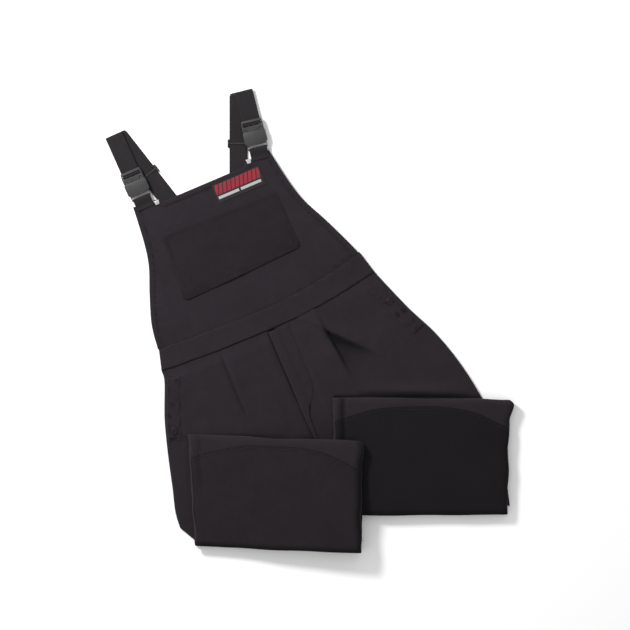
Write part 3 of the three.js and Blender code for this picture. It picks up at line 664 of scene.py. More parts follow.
def bib_height(x, y, d=50.0):
    """Top of the bib: a soft, slightly sagging sheet, held flat at the band and the tabs."""
    free = step(45, 95, y) * (1 - step(300, 345, y) * 0.75)
    swell = 1.7 + 1.5 * rumple(x, y, 130, 1) + 0.7 * rumple(x, y, 52, 2)
    pull = 0.35 * rumple(x * 0.5 + y, y * 0.6 - x, 26, 3)
    z = 5.1 + free * (max(swell, 0) + pull)
    along_hem = math.sin((x + y) / 6.1) * 0.22 * bell(d - 6, 5)
    z += along_hem
    z += 0.45 * (1 - step(10.0, 11.5, d)) * step(60, 75, y)
    z -= 0.5 * bell(d - 11.6, 0.9) * step(60, 75, y)
    z -= rim_drop(d, 5) * 0.8
    return z - 1.2 * step(1.5, -2, y - band_top(x))


def bib_wear_and_groove_shade(x, y, d):
    wear = 0.30 * bell(d, 2.5)
    # painted shade in the stitching groove; the paler rim is wear
    groove = -0.55 * bell(d - 11.6, 1.2) * step(60, 75, y)
    return wear + groove


cloth_piece("bib_front_cloth", BIB_OUTLINE, 4.2, (0.9, 1.2, 8.0, 1.0, 1.2), bib_height, TWILL,
            BIB, TWILL_CLOTH, "bib_front_panel", painted_light_and_wear=bib_wear_and_groove_shade)

upper_edge = LEFT_OF_BIB + RIGHT_OF_BIB
bib_rows = [offset_line(upper_edge, -2.6), offset_line(upper_edge, -9.2)]
stitching("bib_hem_stitches", bib_rows, lambda x, y: bib_height(x, y, 6) + 0.35, BIB)


def back_height(x, y, d=50.0):
    return 2.35 + 0.2 * rumple(x, y, 60, 5) - rim_drop(d, 4) * 0.3


BACK_SIDE = [
    (ARMPIT_WIDTH / 2 - 4, ARMPIT_Y), (ARMPIT_WIDTH / 2 - 60, ARMPIT_Y + 60),
    (BACK_TOP_WIDTH / 2, BACK_TOP_Y),
]
BACK_OUTLINE = (seam_line(BAND_WIDTH, band_top, -ALLOWANCE, 18)[1:-1] + panel_side(1, BACK_SIDE, 30)
                + panel_side(-1, BACK_SIDE, 30)[::-1])
cloth_piece("back_bib_cloth", BACK_OUTLINE, 7.0, (0.9, 9.0), back_height, TWILL,
            BIB, TWILL_CLOTH, "back_bib_panel")

# the chest pocket, a little slack at its lower edge
POCKET_OUTLINE = [
    (-142, 142), (-143.5, 131), (-137, 125.5), (-66, 127), (0, 129.5), (60, 132.5), (117, 135),
    (124, 139), (125.4, 148), (124, 200), (122, 262), (119, 265), (55, 266), (-25, 269),
    (-105, 271.5), (-134, 272), (-138, 268), (-141, 200),
]


def pocket_height(x, y, d=50.0):
    base = bib_height(x, y, 50)
    bag = 1.9 * step(2, 30, d) * (1 - step(170, 262, y)) + 0.5 * rumple(x, y, 46, 8)
    sag = 1.0 * bell(y - 128, 14) * (1 + rumple(x, 0, 60, 9))
    z = base + 1.75 + max(bag, -0.2) + sag
    z -= 0.4 * bell(d - 8.5, 0.9)
    return z - rim_drop(d, 3.5) * 0.5


def pocket_rim_shade(x, y, d):
    # painted shadow along the lower rim, a little wear on the other rims, painted shade in the
    # stitching groove
    rim = -0.8 if y < 150 else 0.12
    return rim * bell(d, 1.6) - 0.3 * bell(d - 8.5, 1.2)


cloth_piece("chest_pocket_cloth", POCKET_OUTLINE, 4.4, (0.8, 2.2, 4.6, 1.0, 1.2), pocket_height, 1.6,
            BIB, POCKET_CLOTH, "bib_pocket", rim=0.8,
            painted_light_and_wear=pocket_rim_shade)
pocket_ring = POCKET_OUTLINE + POCKET_OUTLINE[:1]
stitching("pocket_stitches", [offset_line(pocket_ring, -2.0), offset_line(pocket_ring, -7.0)],
          lambda x, y: pocket_height(x, y, 5) + 0.3, BIB)

# woven patch above the pocket
LABEL_X, LABEL_Y = 12 + BIB_SKEW * 286 / BIB_HEIGHT, 286
LABEL_WIDTH, LABEL_DEPTH = 108, 42
LABEL_OUTLINE = [(0, 0), (LABEL_WIDTH, 0), (LABEL_WIDTH, LABEL_DEPTH), (0, LABEL_DEPTH)]


def label_height(x, y, d=50.0):
    return bib_height(x + LABEL_X, y + LABEL_Y, 50) + 0.95 - rim_drop(d, 1.2) * 0.2


label_place = BIB @ Matrix.Translation((LABEL_X, LABEL_Y, 0))
cloth_piece("woven_patch", LABEL_OUTLINE, 4.0, (0.5, 1.2), label_height, 0.7,
            label_place, LABEL, "chest_label", rim=0.5,
            flat=(LABEL_WIDTH * MM, LABEL_DEPTH * MM))
label_ring = [(1.4, 1.4), (106.6, 1.4), (106.6, 40.6), (1.4, 40.6), (1.4, 1.4)]
stitching("patch_stitches", [label_ring], lambda x, y: label_height(x, y, 3) + 0.15, label_place,
          pitch=2.4)

# waistband, front and back
BAND_OUTLINE = (seam_line(WAIST_WIDTH, waist_low, 0)
                + seam_line(BAND_WIDTH, band_top, 0)[::-1])


def band_height(x, y, d=50.0):
    z = 6.9 + 0.5 * rumple(x, y, 70, 11) + 0.25 * math.sin(x / 7.3 + rumple(x, y, 40, 12) * 3)
    z += 0.9 * bell(y - waist_low(x), 9.0)
    return z - rim_drop(d, 4.5) * 1.5


def band_seam_shade(x, y, d):
    # painted shade along both seams, deeper along the lower one, and a faint paler strip just inside
    # the rims
    seam = -0.95 if y < (waist_low(x) + band_top(x)) / 2 else -0.6
    return seam * bell(d, 1.5) + 0.15 * bell(d - 4, 3.0)


BAND_FLAT = (WAIST_WIDTH * MM, BAND_HEIGHT * MM)
cloth_piece("waistband_front_cloth", BAND_OUTLINE, 4.0, (0.9, 1.6, 4.0), band_height, 3.3,
            BIB, TWILL_CLOTH, "waistband_front", rim=1.2,
            painted_light_and_wear=band_seam_shade, flat=BAND_FLAT)
band_rows = [seam_line(WAIST_WIDTH - 6, waist_low, rise) for rise in (5, 9.4)]
band_rows += [seam_line(BAND_WIDTH - 6, band_top, -drop) for drop in (5, 9.4)]
stitching("waistband_stitches", band_rows, lambda x, y: band_height(x, y, 8) + 0.3, BIB)

cloth_piece("waistband_back_cloth", BAND_OUTLINE, 8.0, (0.9, 3.0),
            lambda x, y, d: 2.55 - rim_drop(d, 3) * 0.3, 2.2,
            BIB, TWILL_CLOTH, "waistband_back", flat=BAND_FLAT)


# ---- the folded legs ----------------------------------------------------------------------

FOLD_REACH = 15.0  # how far each soft fold runs out before it turns
WIDE_REACH = 13.0
HEM_DEPTH = 30
TUCK = 34
FACING_START, FACING_LENGTH = 16, 134
FACING_INSET, FACING_WIDTH = 5, 28
LIFT = 23.2  # the right packet's far end climbs onto the left one


class Packet:
    """One folded leg: a pile of eight plies, drawn square and then pushed out of true."""

    def __init__(self, x0, y0, width, depth, corners, lift, flare, seed):
        self.x0, self.x1, self.y0, self.y1 = x0, x0 + width, y0, y0 + depth
        self.corners = corners
        self.lift = lift
        self.flare = flare
        self.seed = seed

    def shares(self, x, y):
        return (x - self.x0) / (self.x1 - self.x0), (y - self.y0) / (self.y1 - self.y0)

    def rise(self, x):
        return self.lift * step(0, 1, (x - self.x0) / (self.x1 - self.x0)) if self.lift else 0.0

    def swell(self, x, y):
        """Unevenness of the top ply; the plies below take less of it."""
        end = min(x - self.x0, self.x1 - x)
        u, v = self.shares(x, y)
        crown = 2.6 * math.sin(math.pi * min(max(u, 0), 1)) ** 0.6 * step(0, 0.3, v)
        waves = 1.4 * rumple(x, y, 150, self.seed) + 0.8 * rumple(x, y, 60, self.seed + 1)
        ruck = 0.5 * rumple(x * 1.6, y, 30, self.seed + 2) * bell(end, 30)
        turned = 4.6 * rim_drop(self.x1 - x, 20) if x > (self.x0 + self.x1) / 2 else 0
        side = 3.2 * rim_drop(end, 15) + turned - 2.2 * self.roll(x, y, 8) + 3.6 * self.roll(x, y, 20)
        return crown + waves * step(0, 40, end) + ruck - side

    def roll(self, x, y, inwards):
        """1 on a line beside the upper part of the right-hand end seam, fading off it."""
        u, v = self.shares(x, y)
        window = step(0.42, 0.62, v) * (0.35 if self.lift else 1.0)
        return window * bell(x - self.x0 - inwards, 4.2)

    def shade(self, x, y):
        """Painted shade: how dark the cloth is made where it turns down or away."""
        lower = 1.25 * (1 - step(0, 14, y - self.y0))
        far = 0.95 * (1 - step(1, 18 if self.lift else 9, self.x1 - x))
        return -max(lower, far) - 0.9 * self.roll(x, y, 20)

    def place(self, x, y, z):
        """From the square drawing to where the cloth really lies."""
        u, v = self.shares(x, y)
        low_left, low_right, high_left, high_right = self.corners
        dx = ((low_left[0] * (1 - u) + low_right[0] * u) * (1 - v)
              + (high_left[0] * (1 - u) + high_right[0] * u) * v)
        dy = ((low_left[1] * (1 - u) + low_right[1] * u) * (1 - v)
              + (high_left[1] * (1 - u) + high_right[1] * u) * v)
        layer = z / ply_floor(PLIES)
        dy += 2.2 * rumple(x, z * 2, 70, self.seed + 4) * step(0.5, 1.0, v)
        dy += 1.5 * rumple(x, z * 2, 90, self.seed + 5) * (1 - step(0.0, 0.5, v))
        dx += 2.6 * rumple(z * 6, y, 48, self.seed + 6) * abs(2 * u - 1) ** 3
        flare = step(0.78, 1.0, v) * step(0.9, 1.0, u) * step(0.5, 1.0, layer)
        dx += self.flare * flare
        dy -= 3.0 * flare
        share = min(max((z - ply_floor(1) - PLY) / GAP, 0.0), 1.0)
        height = z + self.swell(x, y) * min(layer, 1.1) + share * self.rise(x)
        return Vector((x + dx, y + dy, height))


RIGHT = Packet(-252, -488, 361, 241,
               corners=[(7, 14), (-6, 1), (-9, 8), (-6, -4)], lift=LIFT, flare=5, seed=20)
LEFT = Packet(52, -415, 370, 254,
              corners=[(0, 5), (-12, 7), (-10, 1), (-8, -3)], lift=0, flare=10, seed=40)
CUT_WIDER, CUT_LONGER = 1.12, 1.08  # the flat panel tapers, so its cut is larger all round
FRONT_PLIES = (1, 2, 7, 4)
BACK_PLIES = (0, 3, 6, 5)


def half_turn(y, lower, upper, side, reach, count=12):
    """Half an oval round (y, between two plies), as (y, z)."""
    centre = (mid_ply(lower) + mid_ply(upper)) / 2
    radius = (mid_ply(upper) - mid_ply(lower)) / 2
    points = []
    for i in range(count + 1):
        angle = math.pi * i / count
        points.append((y + side * reach * math.sin(angle), centre - radius * math.cos(angle)))
    return points


def straight(start, end, count):
    return [(start[0] + (end[0] - start[0]) * i / count, start[1] + (end[1] - start[1]) * i / count)
            for i in range(1, count)]


def folded_line(packet, plies):
    """Middle of one ply through the packet, as (y, z), with as many points in each ply."""
    low = packet.y0 + FOLD_REACH + TWILL / 2
    high = packet.y1 - WIDE_REACH - TWILL / 2
    thigh, first, top, tucked = plies
    out = {0: 1.5, 1: 0.5, 7: 1.5, 6: 0.5, 2: 2.5, 3: 1.5}
    turns = [
        half_turn(low, thigh, first, -1, FOLD_REACH - (1.5 - out[thigh]) * PITCH),
        half_turn(high, first, top, 1, WIDE_REACH - (2.5 - out[first]) * PITCH),
        half_turn(low, top, tucked, -1, FOLD_REACH - (1.5 - out[top]) * PITCH),
    ]
    count = 44
    line = [(packet.y0 + TUCK, mid_ply(thigh))]
    line += straight(line[0], turns[0][0], 4) + turns[0]
    line += straight(turns[0][-1], turns[1][0], count) + turns[1]
    line += straight(turns[1][-1], turns[2][0], count) + turns[2]
    end = (high - HEM_DEPTH - GAP, mid_ply(tucked))
    line += straight(turns[2][-1], end, count) + [end]
    return line


def folded_cloth(bm, packet, plies, partner, spacing=5.0):
    """The folded strip of one leg panel: its section runs across the whole packet."""
    line = folded_line(packet, plies)
    layer = cloth_layer(bm)
    station = bm.verts.layers.int.new("station")
    marks = [0.0]
    for a, b in zip(line, line[1:]):
        marks.append(marks[-1] + math.hypot(b[0] - a[0], b[1] - a[1]))
    sides = []
    for i in range(len(line)):
        a, b = line[max(i - 1, 0)], line[min(i + 1, len(line) - 1)]
        length = math.hypot(b[0] - a[0], b[1] - a[1])
        sides.append((-(b[1] - a[1]) / length * partner, (b[0] - a[0]) / length * partner))
    start = []
    for i, (y, z) in enumerate(line):
        v = bm.verts.new((packet.x0, y, z))
        v[station] = i + 1
        start.append(v)
    width = packet.x1 - packet.x0
    near_ends = [0.0, 0.9, 2.4, 5.0, 9.0]
    inner = [9.0 + (width - 18.0) * i / int(width / spacing) for i in range(1, int(width / spacing))]
    stops = near_ends + inner + [width - s for s in reversed(near_ends)]
    new_verts = sweep(bm, start, stops)
    faces = {f for v in new_verts for f in v.link_faces}
    thick = bmesh.ops.extrude_face_region(bm, geom=list(faces), use_keep_orig=True)
    outer = {g for g in thick["geom"] if isinstance(g, bmesh.types.BMVert)}
    for v in set(new_verts) | outer:
        i = v[station] - 1
        end = min(v.co.x - packet.x0, packet.x1 - v.co.x)
        to_y, to_z = sides[i]
        meet = (PITCH - TWILL * 0.75) / 2 * rim_drop(end, 9)
        half = TWILL / 2 * (1 - 0.55 * rim_drop(end, 1.2))
        shift = meet + (-half if v in outer else half)
        y, z = v.co.y + to_y * shift, v.co.z + to_z * shift
        # painted shade along the stitching near each end, a little wear at the very ends, and the
        # packet's painted shade
        seam = -0.35 * bell(end - 10.5, 1.3) + 0.15 * bell(end, 2)
        v[layer] = (v.co.x, marks[i], seam + packet.shade(v.co.x, v.co.y))
        v.co = packet.place(v.co.x, y, max(z, 0.15) - 0.25 * bell(end - 10.5, 1.3))
    return marks[-1] * width


# outlines of the thighs, in the garment's plan
def waist_corner(sign):
    return from_bib(sign * WAIST_WIDTH / 2, waist_low(sign * WAIST_WIDTH / 2) - GAP)


def waist_seam(sign):
    """The waist seam, from the side to the fly."""
    xs = [sign * WAIST_WIDTH / 2 * (1 - i / 20) for i in range(1, 20)]
    return [from_bib(x, waist_low(x) + ALLOWANCE) for x in xs]


RIGHT_HIP = [waist_corner(-1)] + [(RIGHT.x0 + x, RIGHT.y1 + y) for x, y in (
    (-59, 118), (-59, 46), (-55, -4), (-49, -55), (-42, -105), (-36, -155), (-26, -189))]
LEFT_HIP = [waist_corner(1)] + [(LEFT.x1 + x, LEFT.y1 + y) for x, y in (
    (-222, 191), (-166, 139), (-121, 86), (-88, 38), (-64, -2))]
RIGHT_HIP_LINE = smooth_line(RIGHT_HIP, 50)
LEFT_HIP_LINE = smooth_line(LEFT_HIP, 50)


def centre_line(sign, front):
    if not front:
        return [from_bib(sign * 0.2, ALLOWANCE), from_bib(sign * 0.2, -270)]
    return [from_bib(sign * 6, ALLOWANCE), from_bib(sign * 6, -160), from_bib(sign * 0.2, -167),
            from_bib(sign * 0.2, -270)]


def right_thigh(front):
    low = RIGHT.y0 + TUCK - 8
    return centre_line(-1, front) + [
        (LEFT.x0 - 16, -310), (LEFT.x0 - 7, LEFT.y0 - 5), (RIGHT.x1 - 9, low + 2),
        (RIGHT.x1, low), (RIGHT.x0 + 6, low)] + RIGHT_HIP_LINE[::-1] + waist_seam(-1)


def left_thigh(front):
    low = LEFT.y0 + TUCK - 8
    return LEFT_HIP_LINE + [
        (LEFT.x1 - 30, LEFT.y1 - 54), (LEFT.x1 - 17, LEFT.y1 - 139), (LEFT.x1 - 6, low),
        (LEFT.x0 + 6, low), (LEFT.x0 + 4, -300)] + centre_line(1, front)[::-1] + waist_seam(1)[::-1]


PLEAT = ((-191, -66), (-137, -196))
FOLD_TIP = (11, 6)
FOLD_APEX = (28, -18)
FOLD_LEG = (71, -97)
FOLD_ARM = (150, -73)
SHADOW_RIDGE = ((88, LEFT.y1 + 15), (332, LEFT.y1 + 12))


def from_fold(x, y):
    """How far a point lies from the middle of the sunken fold."""
    return math.hypot(x - FOLD_APEX[0] - 16, y - FOLD_APEX[1] + 20)


def thigh_height(x, y, d=50.0):
    """Top of the thighs: slack cloth with a pleat, a deep sunken fold and a gathered ridge."""
    bx, by = to_bib(x, y)
    free = step(1, 30, waist_low(bx) - by)
    slack = (2.8 + 2.7 * rumple(x, y, 120, 14) + 1.1 * rumple(x, y, 48, 15)
             + 0.35 * rumple(x, y, 22, 16))
    z = 5.2 + free * max(slack, 0.2) - 1.9 * step(-1.5, 2, by - waist_low(bx))
    along, across = beside(x, y, *PLEAT)
    window = step(-0.05, 0.25, along) * (1 - step(0.8, 1.25, along))
    z += window * (3.4 * bell(min(across, 0), 20) if across < 0
                   else 3.4 * bell(across, 2.2) - 1.6 * bell(across - 4, 4))
    # the sunken fold: steep on its upper and inner sides, running out towards the hip
    _, into_leg = beside(x, y, FOLD_LEG, FOLD_APEX)
    _, into_arm = beside(x, y, FOLD_APEX, FOLD_ARM)
    away = from_fold(x, y)
    near = bell(away, 78)
    z += 6.0 * near * bell(min(abs(into_leg), 60), 22) * (1 - step(-1.5, 2.5, into_leg))
    z += 6.0 * near * bell(min(abs(into_arm), 60), 20) * (1 - step(-2.0, 4.0, into_arm))
    z -= 3.4 * near * step(-1.5, 2.5, into_leg) * step(-2.0, 4.0, into_arm)
    # the ridge over the left packet's upper edge
    along, across = beside(x, y, *SHADOW_RIDGE)
    hump = math.sin(math.pi * min(max(along, 0), 1)) ** 0.7
    side = 13 if across < 0 else 5.5
    z += 6.5 * hump * bell(across, side)
    # the fly: cloth dips to the placket's edge and lies flat under it
    left_of_fly = step(0, 7, FLY_EDGE - bx)
    right_of_fly = step(0, 9, bx - FLY_EDGE - PLACKET_WIDTH)
    flat = max(left_of_fly, right_of_fly)
    z = 5.0 + (z - 5.0) * flat + 1.6 * free * bell(bx - FLY_EDGE + 15, 8) * left_of_fly
    # under the packets the cloth is pressed flat
    packed = 1 - step(-4, 9, y - RIGHT.y1) if x < 45 else 0.0
    if x > LEFT.x0 - 4:
        packed = max(packed, 1 - step(-3, 6, y - LEFT.y1))
    z = z * (1 - packed) + 5.0 * packed
    return z - rim_drop(d, 9) * (z - 3.6)


def thigh_back_height(x, y, d=50.0):
    return 2.2 - rim_drop(d, 8) * 0.1


# Painted light on the thighs: shade in grooves and the sunken fold, and a highlight beside the pleat.
def thigh_painted_light(x, y, d):
    bx, by = to_bib(x, y)
    # painted shade in the groove beside the fly's edge
    fly = -0.9 * bell(bx - FLY_EDGE + 0.5, 1.6) * step(0, 8, -by)
    along, across = beside(x, y, *PLEAT)
    window = step(-0.05, 0.2, along) * (1 - step(0.85, 1.2, along))
    # the pleat: a painted highlight beside a painted shade line
    pleat = window * (0.2 * bell(across + 2, 3) - 0.5 * bell(across - 4, 3))
    leg, into_leg = beside(x, y, FOLD_LEG, FOLD_TIP)
    arm, into_arm = beside(x, y, FOLD_APEX, FOLD_ARM)
    away = from_fold(x, y)
    # painted shade inside the sunken fold, darkest along its leg and its brow
    inside = step(-0.5, 5, into_leg) * step(-0.5, 6, into_arm)
    painted_fold_shade = -0.7 * inside * bell(away, 55)
    line = step(-0.1, 0.15, leg) * (1 - step(0.7, 1.0, leg))
    painted_fold_shade -= 0.8 * line * bell(into_leg - 1.5, 2.6)
    brow = step(-0.1, 0.1, arm) * (1 - step(0.5, 1.0, arm)) * step(-1, 3, into_arm)
    painted_fold_shade -= 0.75 * brow * bell(into_arm, 14)
    ridge, _ = beside(x, y, *SHADOW_RIDGE)
    under_ridge = math.sin(math.pi * min(max(ridge, 0), 1)) ** 0.7
    # painted shadow under the ridge over the left packet
    shadow = -1.1 * under_ridge * bell(y - LEFT.y1 - 3, 3.5)
    return fly + pleat + painted_fold_shade + shadow


def make_leg(side, packet, thigh_of, hip, inward):
    for face, plies, height, partner in (
        ("front", FRONT_PLIES, thigh_height, 1),
        ("back", BACK_PLIES, thigh_back_height, -1),
    ):
        outline = thigh_of(face == "front")
        bm = flat_cloth(outline, 3.3 if face == "front" else 9.0, insets=(0.9, 3.0))
        thicken(bm, outline, height, TWILL, rim=0.9, painted_light_and_wear=thigh_painted_light)
        strip = folded_cloth(bm, packet, plies, partner, 5.0 if face == "front" else 8.0)
        bmesh.ops.recalc_face_normals(bm, faces=bm.faces[:])
        name = f"{side}_leg_{face}_cloth"
        cloth = make_piece(name, bm, GARMENT, TWILL_CLOTH,
                           stands_for=[f"{side}_leg_{face}_panel"], sharp=60)
        total = (polygon_area(outline) + strip) * MM * MM
        wide = (packet.x1 - packet.x0) * MM * CUT_WIDER
        total / wide * CUT_LONGER

    # knee patch, wrapped over the packet's lower fold
    width = packet.x1 - packet.x0
    crown = smooth_line([
        (packet.x0 + 3, packet.y1 - 50), (packet.x0 + width * 0.25, packet.y1 - 24),
        (packet.x0 + width * 0.52, packet.y1 - 17), (packet.x0 + width * 0.78, packet.y1 - 28),
        (packet.x1 - 3, packet.y1 - 62)], 40)
    outline = [(packet.x0 + 3, packet.y0 + 1.5), (packet.x1 - 3, packet.y0 + 1.5)] + crown[::-1]
    low = packet.y0 + FOLD_REACH + TWILL / 2
    middle = (mid_ply(4) + mid_ply(7)) / 2
    tall = mid_ply(7) + TWILL / 2 - middle

    def patch_height(x, y, d=50.0):
        t = min(max((low - y) / (FOLD_REACH + TWILL / 2), 0.0), 0.995)
        over = middle + tall * math.sqrt(1 - t * t)
        return over + 1.45 - 0.3 * bell(d - 7.5, 1.0) - rim_drop(d, 2.5) * 0.4

    def patch_seam_shade(x, y, d):
        # painted shade along the patch's rim and its stitching, with the packet's painted shade
        seam = -0.7 * bell(d, 1.3) - 0.15 * bell(d - 7.5, 1.1)
        return (seam if y > packet.y0 + 30 else 0.0) + packet.shade(x, y)

    # the left knee patch is painted in shade with the darker copy of the twill
    patch_finish = POCKET_CLOTH if side == "right" else SHADED_TWILL_CLOTH
    cloth_piece(f"{side}_knee_patch_cloth", outline, 4.6, (0.8, 1.6, 4.4, 1.2), patch_height, PATCH,
                GARMENT, patch_finish, f"{side}_knee_patch", rim=0.8,
                painted_light_and_wear=patch_seam_shade, settle=packet.place)
    rows = [offset_line(crown, 2.2), offset_line(crown, 6.0)]
    stitching(f"{side}_knee_stitches", rows, lambda x, y: patch_height(x, y, 5) + 0.25, GARMENT,
              settle=packet.place)
    top = mid_ply(7) + TWILL / 2
    ends = [[(packet.x0 + s, packet.y1 - 16), (packet.x0 + s, packet.y1 - 46)] for s in (7.5, 12.5)]
    ends += [[(packet.x1 - s, packet.y1 - 16), (packet.x1 - s, packet.y1 - 58)] for s in (7.5, 12.5)]
    stitching(f"{side}_side_seam_stitches", ends, lambda x, y: top + 0.2, GARMENT,
              settle=packet.place)

    # the hem, turned in twice, hidden between the plies
    high = packet.y1 - WIDE_REACH - TWILL / 2
    for number, ply in ((1, 4), (2, 5)):
        strip = [(packet.x0 + 4, high - HEM_DEPTH), (packet.x1 - 4, high - HEM_DEPTH),
                 (packet.x1 - 4, high - 6), (packet.x0 + 4, high - 6)]
        cloth_piece(f"{side}_leg_hem_{number}", strip, 7.0, (0.9, 2.0),
                    lambda x, y, d: mid_ply(ply) + 1.1, 2.2, GARMENT, TWILL_CLOTH,
                    f"{side}_leg_hem", settle=packet.place)

    # hip opening: a facing strip, puckered by its stitches, and two tack buttons
    edge = piece_of_line(hip, FACING_START, FACING_START + FACING_LENGTH)
    near = offset_line(edge, inward * FACING_INSET)
    far = offset_line(edge, inward * (FACING_INSET + FACING_WIDTH))
    strip = near + far[::-1]

    def hip_height(x, y, d=50.0):
        pucker = 0.7 * math.sin((x * 0.7 - y) / 5.2 + rumple(x, y, 30, 17) * 2.5)
        return thigh_height(x, y, 30) + 1.5 + pucker * bell(d, 9) - rim_drop(d, 3) * 0.6

    def hip_pucker_shade(x, y, d):
        # painted shade in spots along the puckers; a little wear at the edge
        painted_pucker_shade = step(0.1, 0.8, rumple(x, y, 11, 18))
        return 0.2 * bell(d, 2) - 0.8 * painted_pucker_shade * bell(d - 6, 4)

    cloth_piece(f"{side}_hip_facing", strip, 3.0, (0.8, 1.2), hip_height, PATCH,
                GARMENT, TWILL_CLOTH, f"{side}_hip_placket", rim=0.8,
                painted_light_and_wear=hip_pucker_shade, flat=(FACING_WIDTH * MM, FACING_LENGTH * MM))
    stitching(f"{side}_hip_stitches",
              [offset_line(edge, inward * 7.5), offset_line(edge, inward * 30.5)],
              lambda x, y: hip_height(x, y, 4) + 0.3, GARMENT)


make_leg("right", RIGHT, right_thigh, RIGHT_HIP_LINE, -1)
make_leg("left", LEFT, left_thigh, LEFT_HIP_LINE, 1)
for side in ("right", "left"):
    for number in (1, 2):
        node = f"{side}_hip_button_{number}"
        moulded_copy(node, f"{side}_tack_button_{number}", DARK_METAL, bevel=0.3)

# ---- fly ----------------------------------------------------------------------------------

PLACKET_OUTLINE = (
    [(FLY_EDGE, -3), (FLY_EDGE, -60), (FLY_EDGE + 0.5, -120), (FLY_EDGE, -180), (FLY_EDGE + 1.5, -252)]
    + smooth_line([(FLY_EDGE + 9, -252), (FLY_EDGE + 11, -200), (FLY_EDGE + 20, -178),
                   (FLY_EDGE + 36, -158), (FLY_EDGE + PLACKET_WIDTH, -120)], 16)
    + [(FLY_EDGE + PLACKET_WIDTH, -3)])


def placket_height(x, y, d=50.0):
    bridge = 1 - step(9, 15, x)
    lower = step(175, 215, -y)
    z = 6.7 + bridge * (2.3 - 1.4 * lower) + 0.25 * rumple(x, y, 30, 19)
    z -= 0.9 * step(225, 250, -y)
    return z - rim_drop(d, 2.2) * 0.4


# the placket's rims are painted paler: wear, and a painted highlight on its raised edge
cloth_piece("fly_placket_cloth", PLACKET_OUTLINE, 3.6, (0.7, 1.2), placket_height, 1.3,
            BIB, TWILL_CLOTH, "fly_placket", rim=0.7,
            painted_light_and_wear=lambda x, y, d: 0.35 * bell(d, 1.5))
j_row = smooth_line([(30, -6), (30, -110), (25, -140), (12, -162), (4, -176)], 30)
stitching("fly_stitches", [j_row, [(x - 5, y + 2) for x, y in j_row]],
          lambda x, y: placket_height(x, y, 6) + 0.25, BIB)

# zip: tape and interlocking teeth
TAPE_WIDTH, TAPE_LENGTH = 11.4, 142
TOOTH_PAIRS, TOOTH_PITCH = 57, 2.45
bm = bmesh.new()
layer = cloth_layer(bm)
bmesh.ops.create_grid(bm, x_segments=6, y_segments=36, size=0.5,
                      matrix=Matrix.Translation((0, -89, 4.2))
                      @ Matrix.Diagonal((TAPE_WIDTH, TAPE_LENGTH, 1, 1)))
for v in bm.verts:
    v[layer] = (v.co.x, v.co.y, 0)
bmesh.ops.solidify(bm, geom=bm.faces[:], thickness=0.7)
tape = make_piece("zip_tape", bm, BIB, ZIP_TAPE)
bm = bmesh.new()
for i in range(TOOTH_PAIRS):
    for sign in (-1, 1):
        y = -19.5 - i * TOOTH_PITCH - (1.2 if sign > 0 else 0)
        place = Matrix.Translation((sign * 0.9, y, 4.6))
        bmesh.ops.create_cone(bm, cap_ends=True, segments=8, radius1=0.5, radius2=0.42, depth=1.0,
                              matrix=place @ Matrix.Diagonal((3.0, 1.25, 1.35, 1)))
make_piece("zip_teeth", bm, BIB, BRASS, stands_for=["fly_zipper_chain"], sharp=40)
moulded_copy("zipper_slider", "zip_slider", BRASS, bevel=0.2, body="zip")
moulded_copy("zipper_puller", "zip_puller", BRASS, bevel=0.2, body="zip")

# ---- straps -------------------------------------------------------------------------------


WEB_STATION = 1.6  # from one row of vertices to the next along a strap
SOCKET_BAR_Y, ANCHOR_RADIUS = -28.25, 2.55


def webbing_strip(line, width=WEB_WIDTH, thickness=1.5, edge=0.25):
    """A strap whose middle follows a line in Y and Z; it lies across X."""
    bm = bmesh.new()
    layer = cloth_layer(bm)
    station = bm.verts.layers.int.new("station")
    line = [(p.x, p.y) for p in along_line(line, WEB_STATION)]
    start = []
    for i, (y, z) in enumerate(line):
        v = bm.verts.new((-width / 2, y, z))
        v[station] = i
        start.append(v)
    sweep(bm, start,
          [0, 0.6, 1.6, 2.6, 7, 12, 19, 26, 31, width - 2.6, width - 1.6, width - 0.6, width])
    thick = bmesh.ops.extrude_face_region(bm, geom=bm.faces[:], use_keep_orig=True)
    outer = {g for g in thick["geom"] if isinstance(g, bmesh.types.BMVert)}
    for v in bm.verts:
        i = v[station]
        a, b = line[max(i - 1, 0)], line[min(i + 1, len(line) - 1)]
        length = math.hypot(b[0] - a[0], b[1] - a[1]) or 1
        side = (-(b[1] - a[1]) / length, (b[0] - a[0]) / length)
        rim = width / 2 - abs(v.co.x)
        half = thickness / 2 * (1 - 0.6 * rim_drop(rim, 0.8))
        half += edge * 0.3 * bell(rim - 1.6, 0.8)
        shift = half if v in outer else -half
        # third value: a painted highlight along both rims
        v[layer] = (v.co.x, i * WEB_STATION, 0.3 * bell(rim, 1.2))
        v.co.y += side[0] * shift
        v.co.z += side[1] * shift
    bmesh.ops.recalc_face_normals(bm, faces=bm.faces[:])
    return bm, (len(line) - 1) * WEB_STATION


def arc(centre, radius, start, end, count=14):
    return [(centre[0] + radius * math.cos(math.radians(start + (end - start) * i / count)),
             centre[1] + radius * math.sin(math.radians(start + (end - start) * i / count)))
            for i in range(count + 1)]


def box_stitch(bm, x0, x1, y0, y1, z):
    """Square and cross, as a strap end is sewn."""
    corners = [(x0, y0), (x1, y0), (x1, y1), (x0, y1), (x0, y0)]
    for row in (corners, [(x0, y0), (x1, y1)], [(x0, y1), (x1, y0)]):
        sew(bm, row, lambda x, y: z, pitch=2.8)


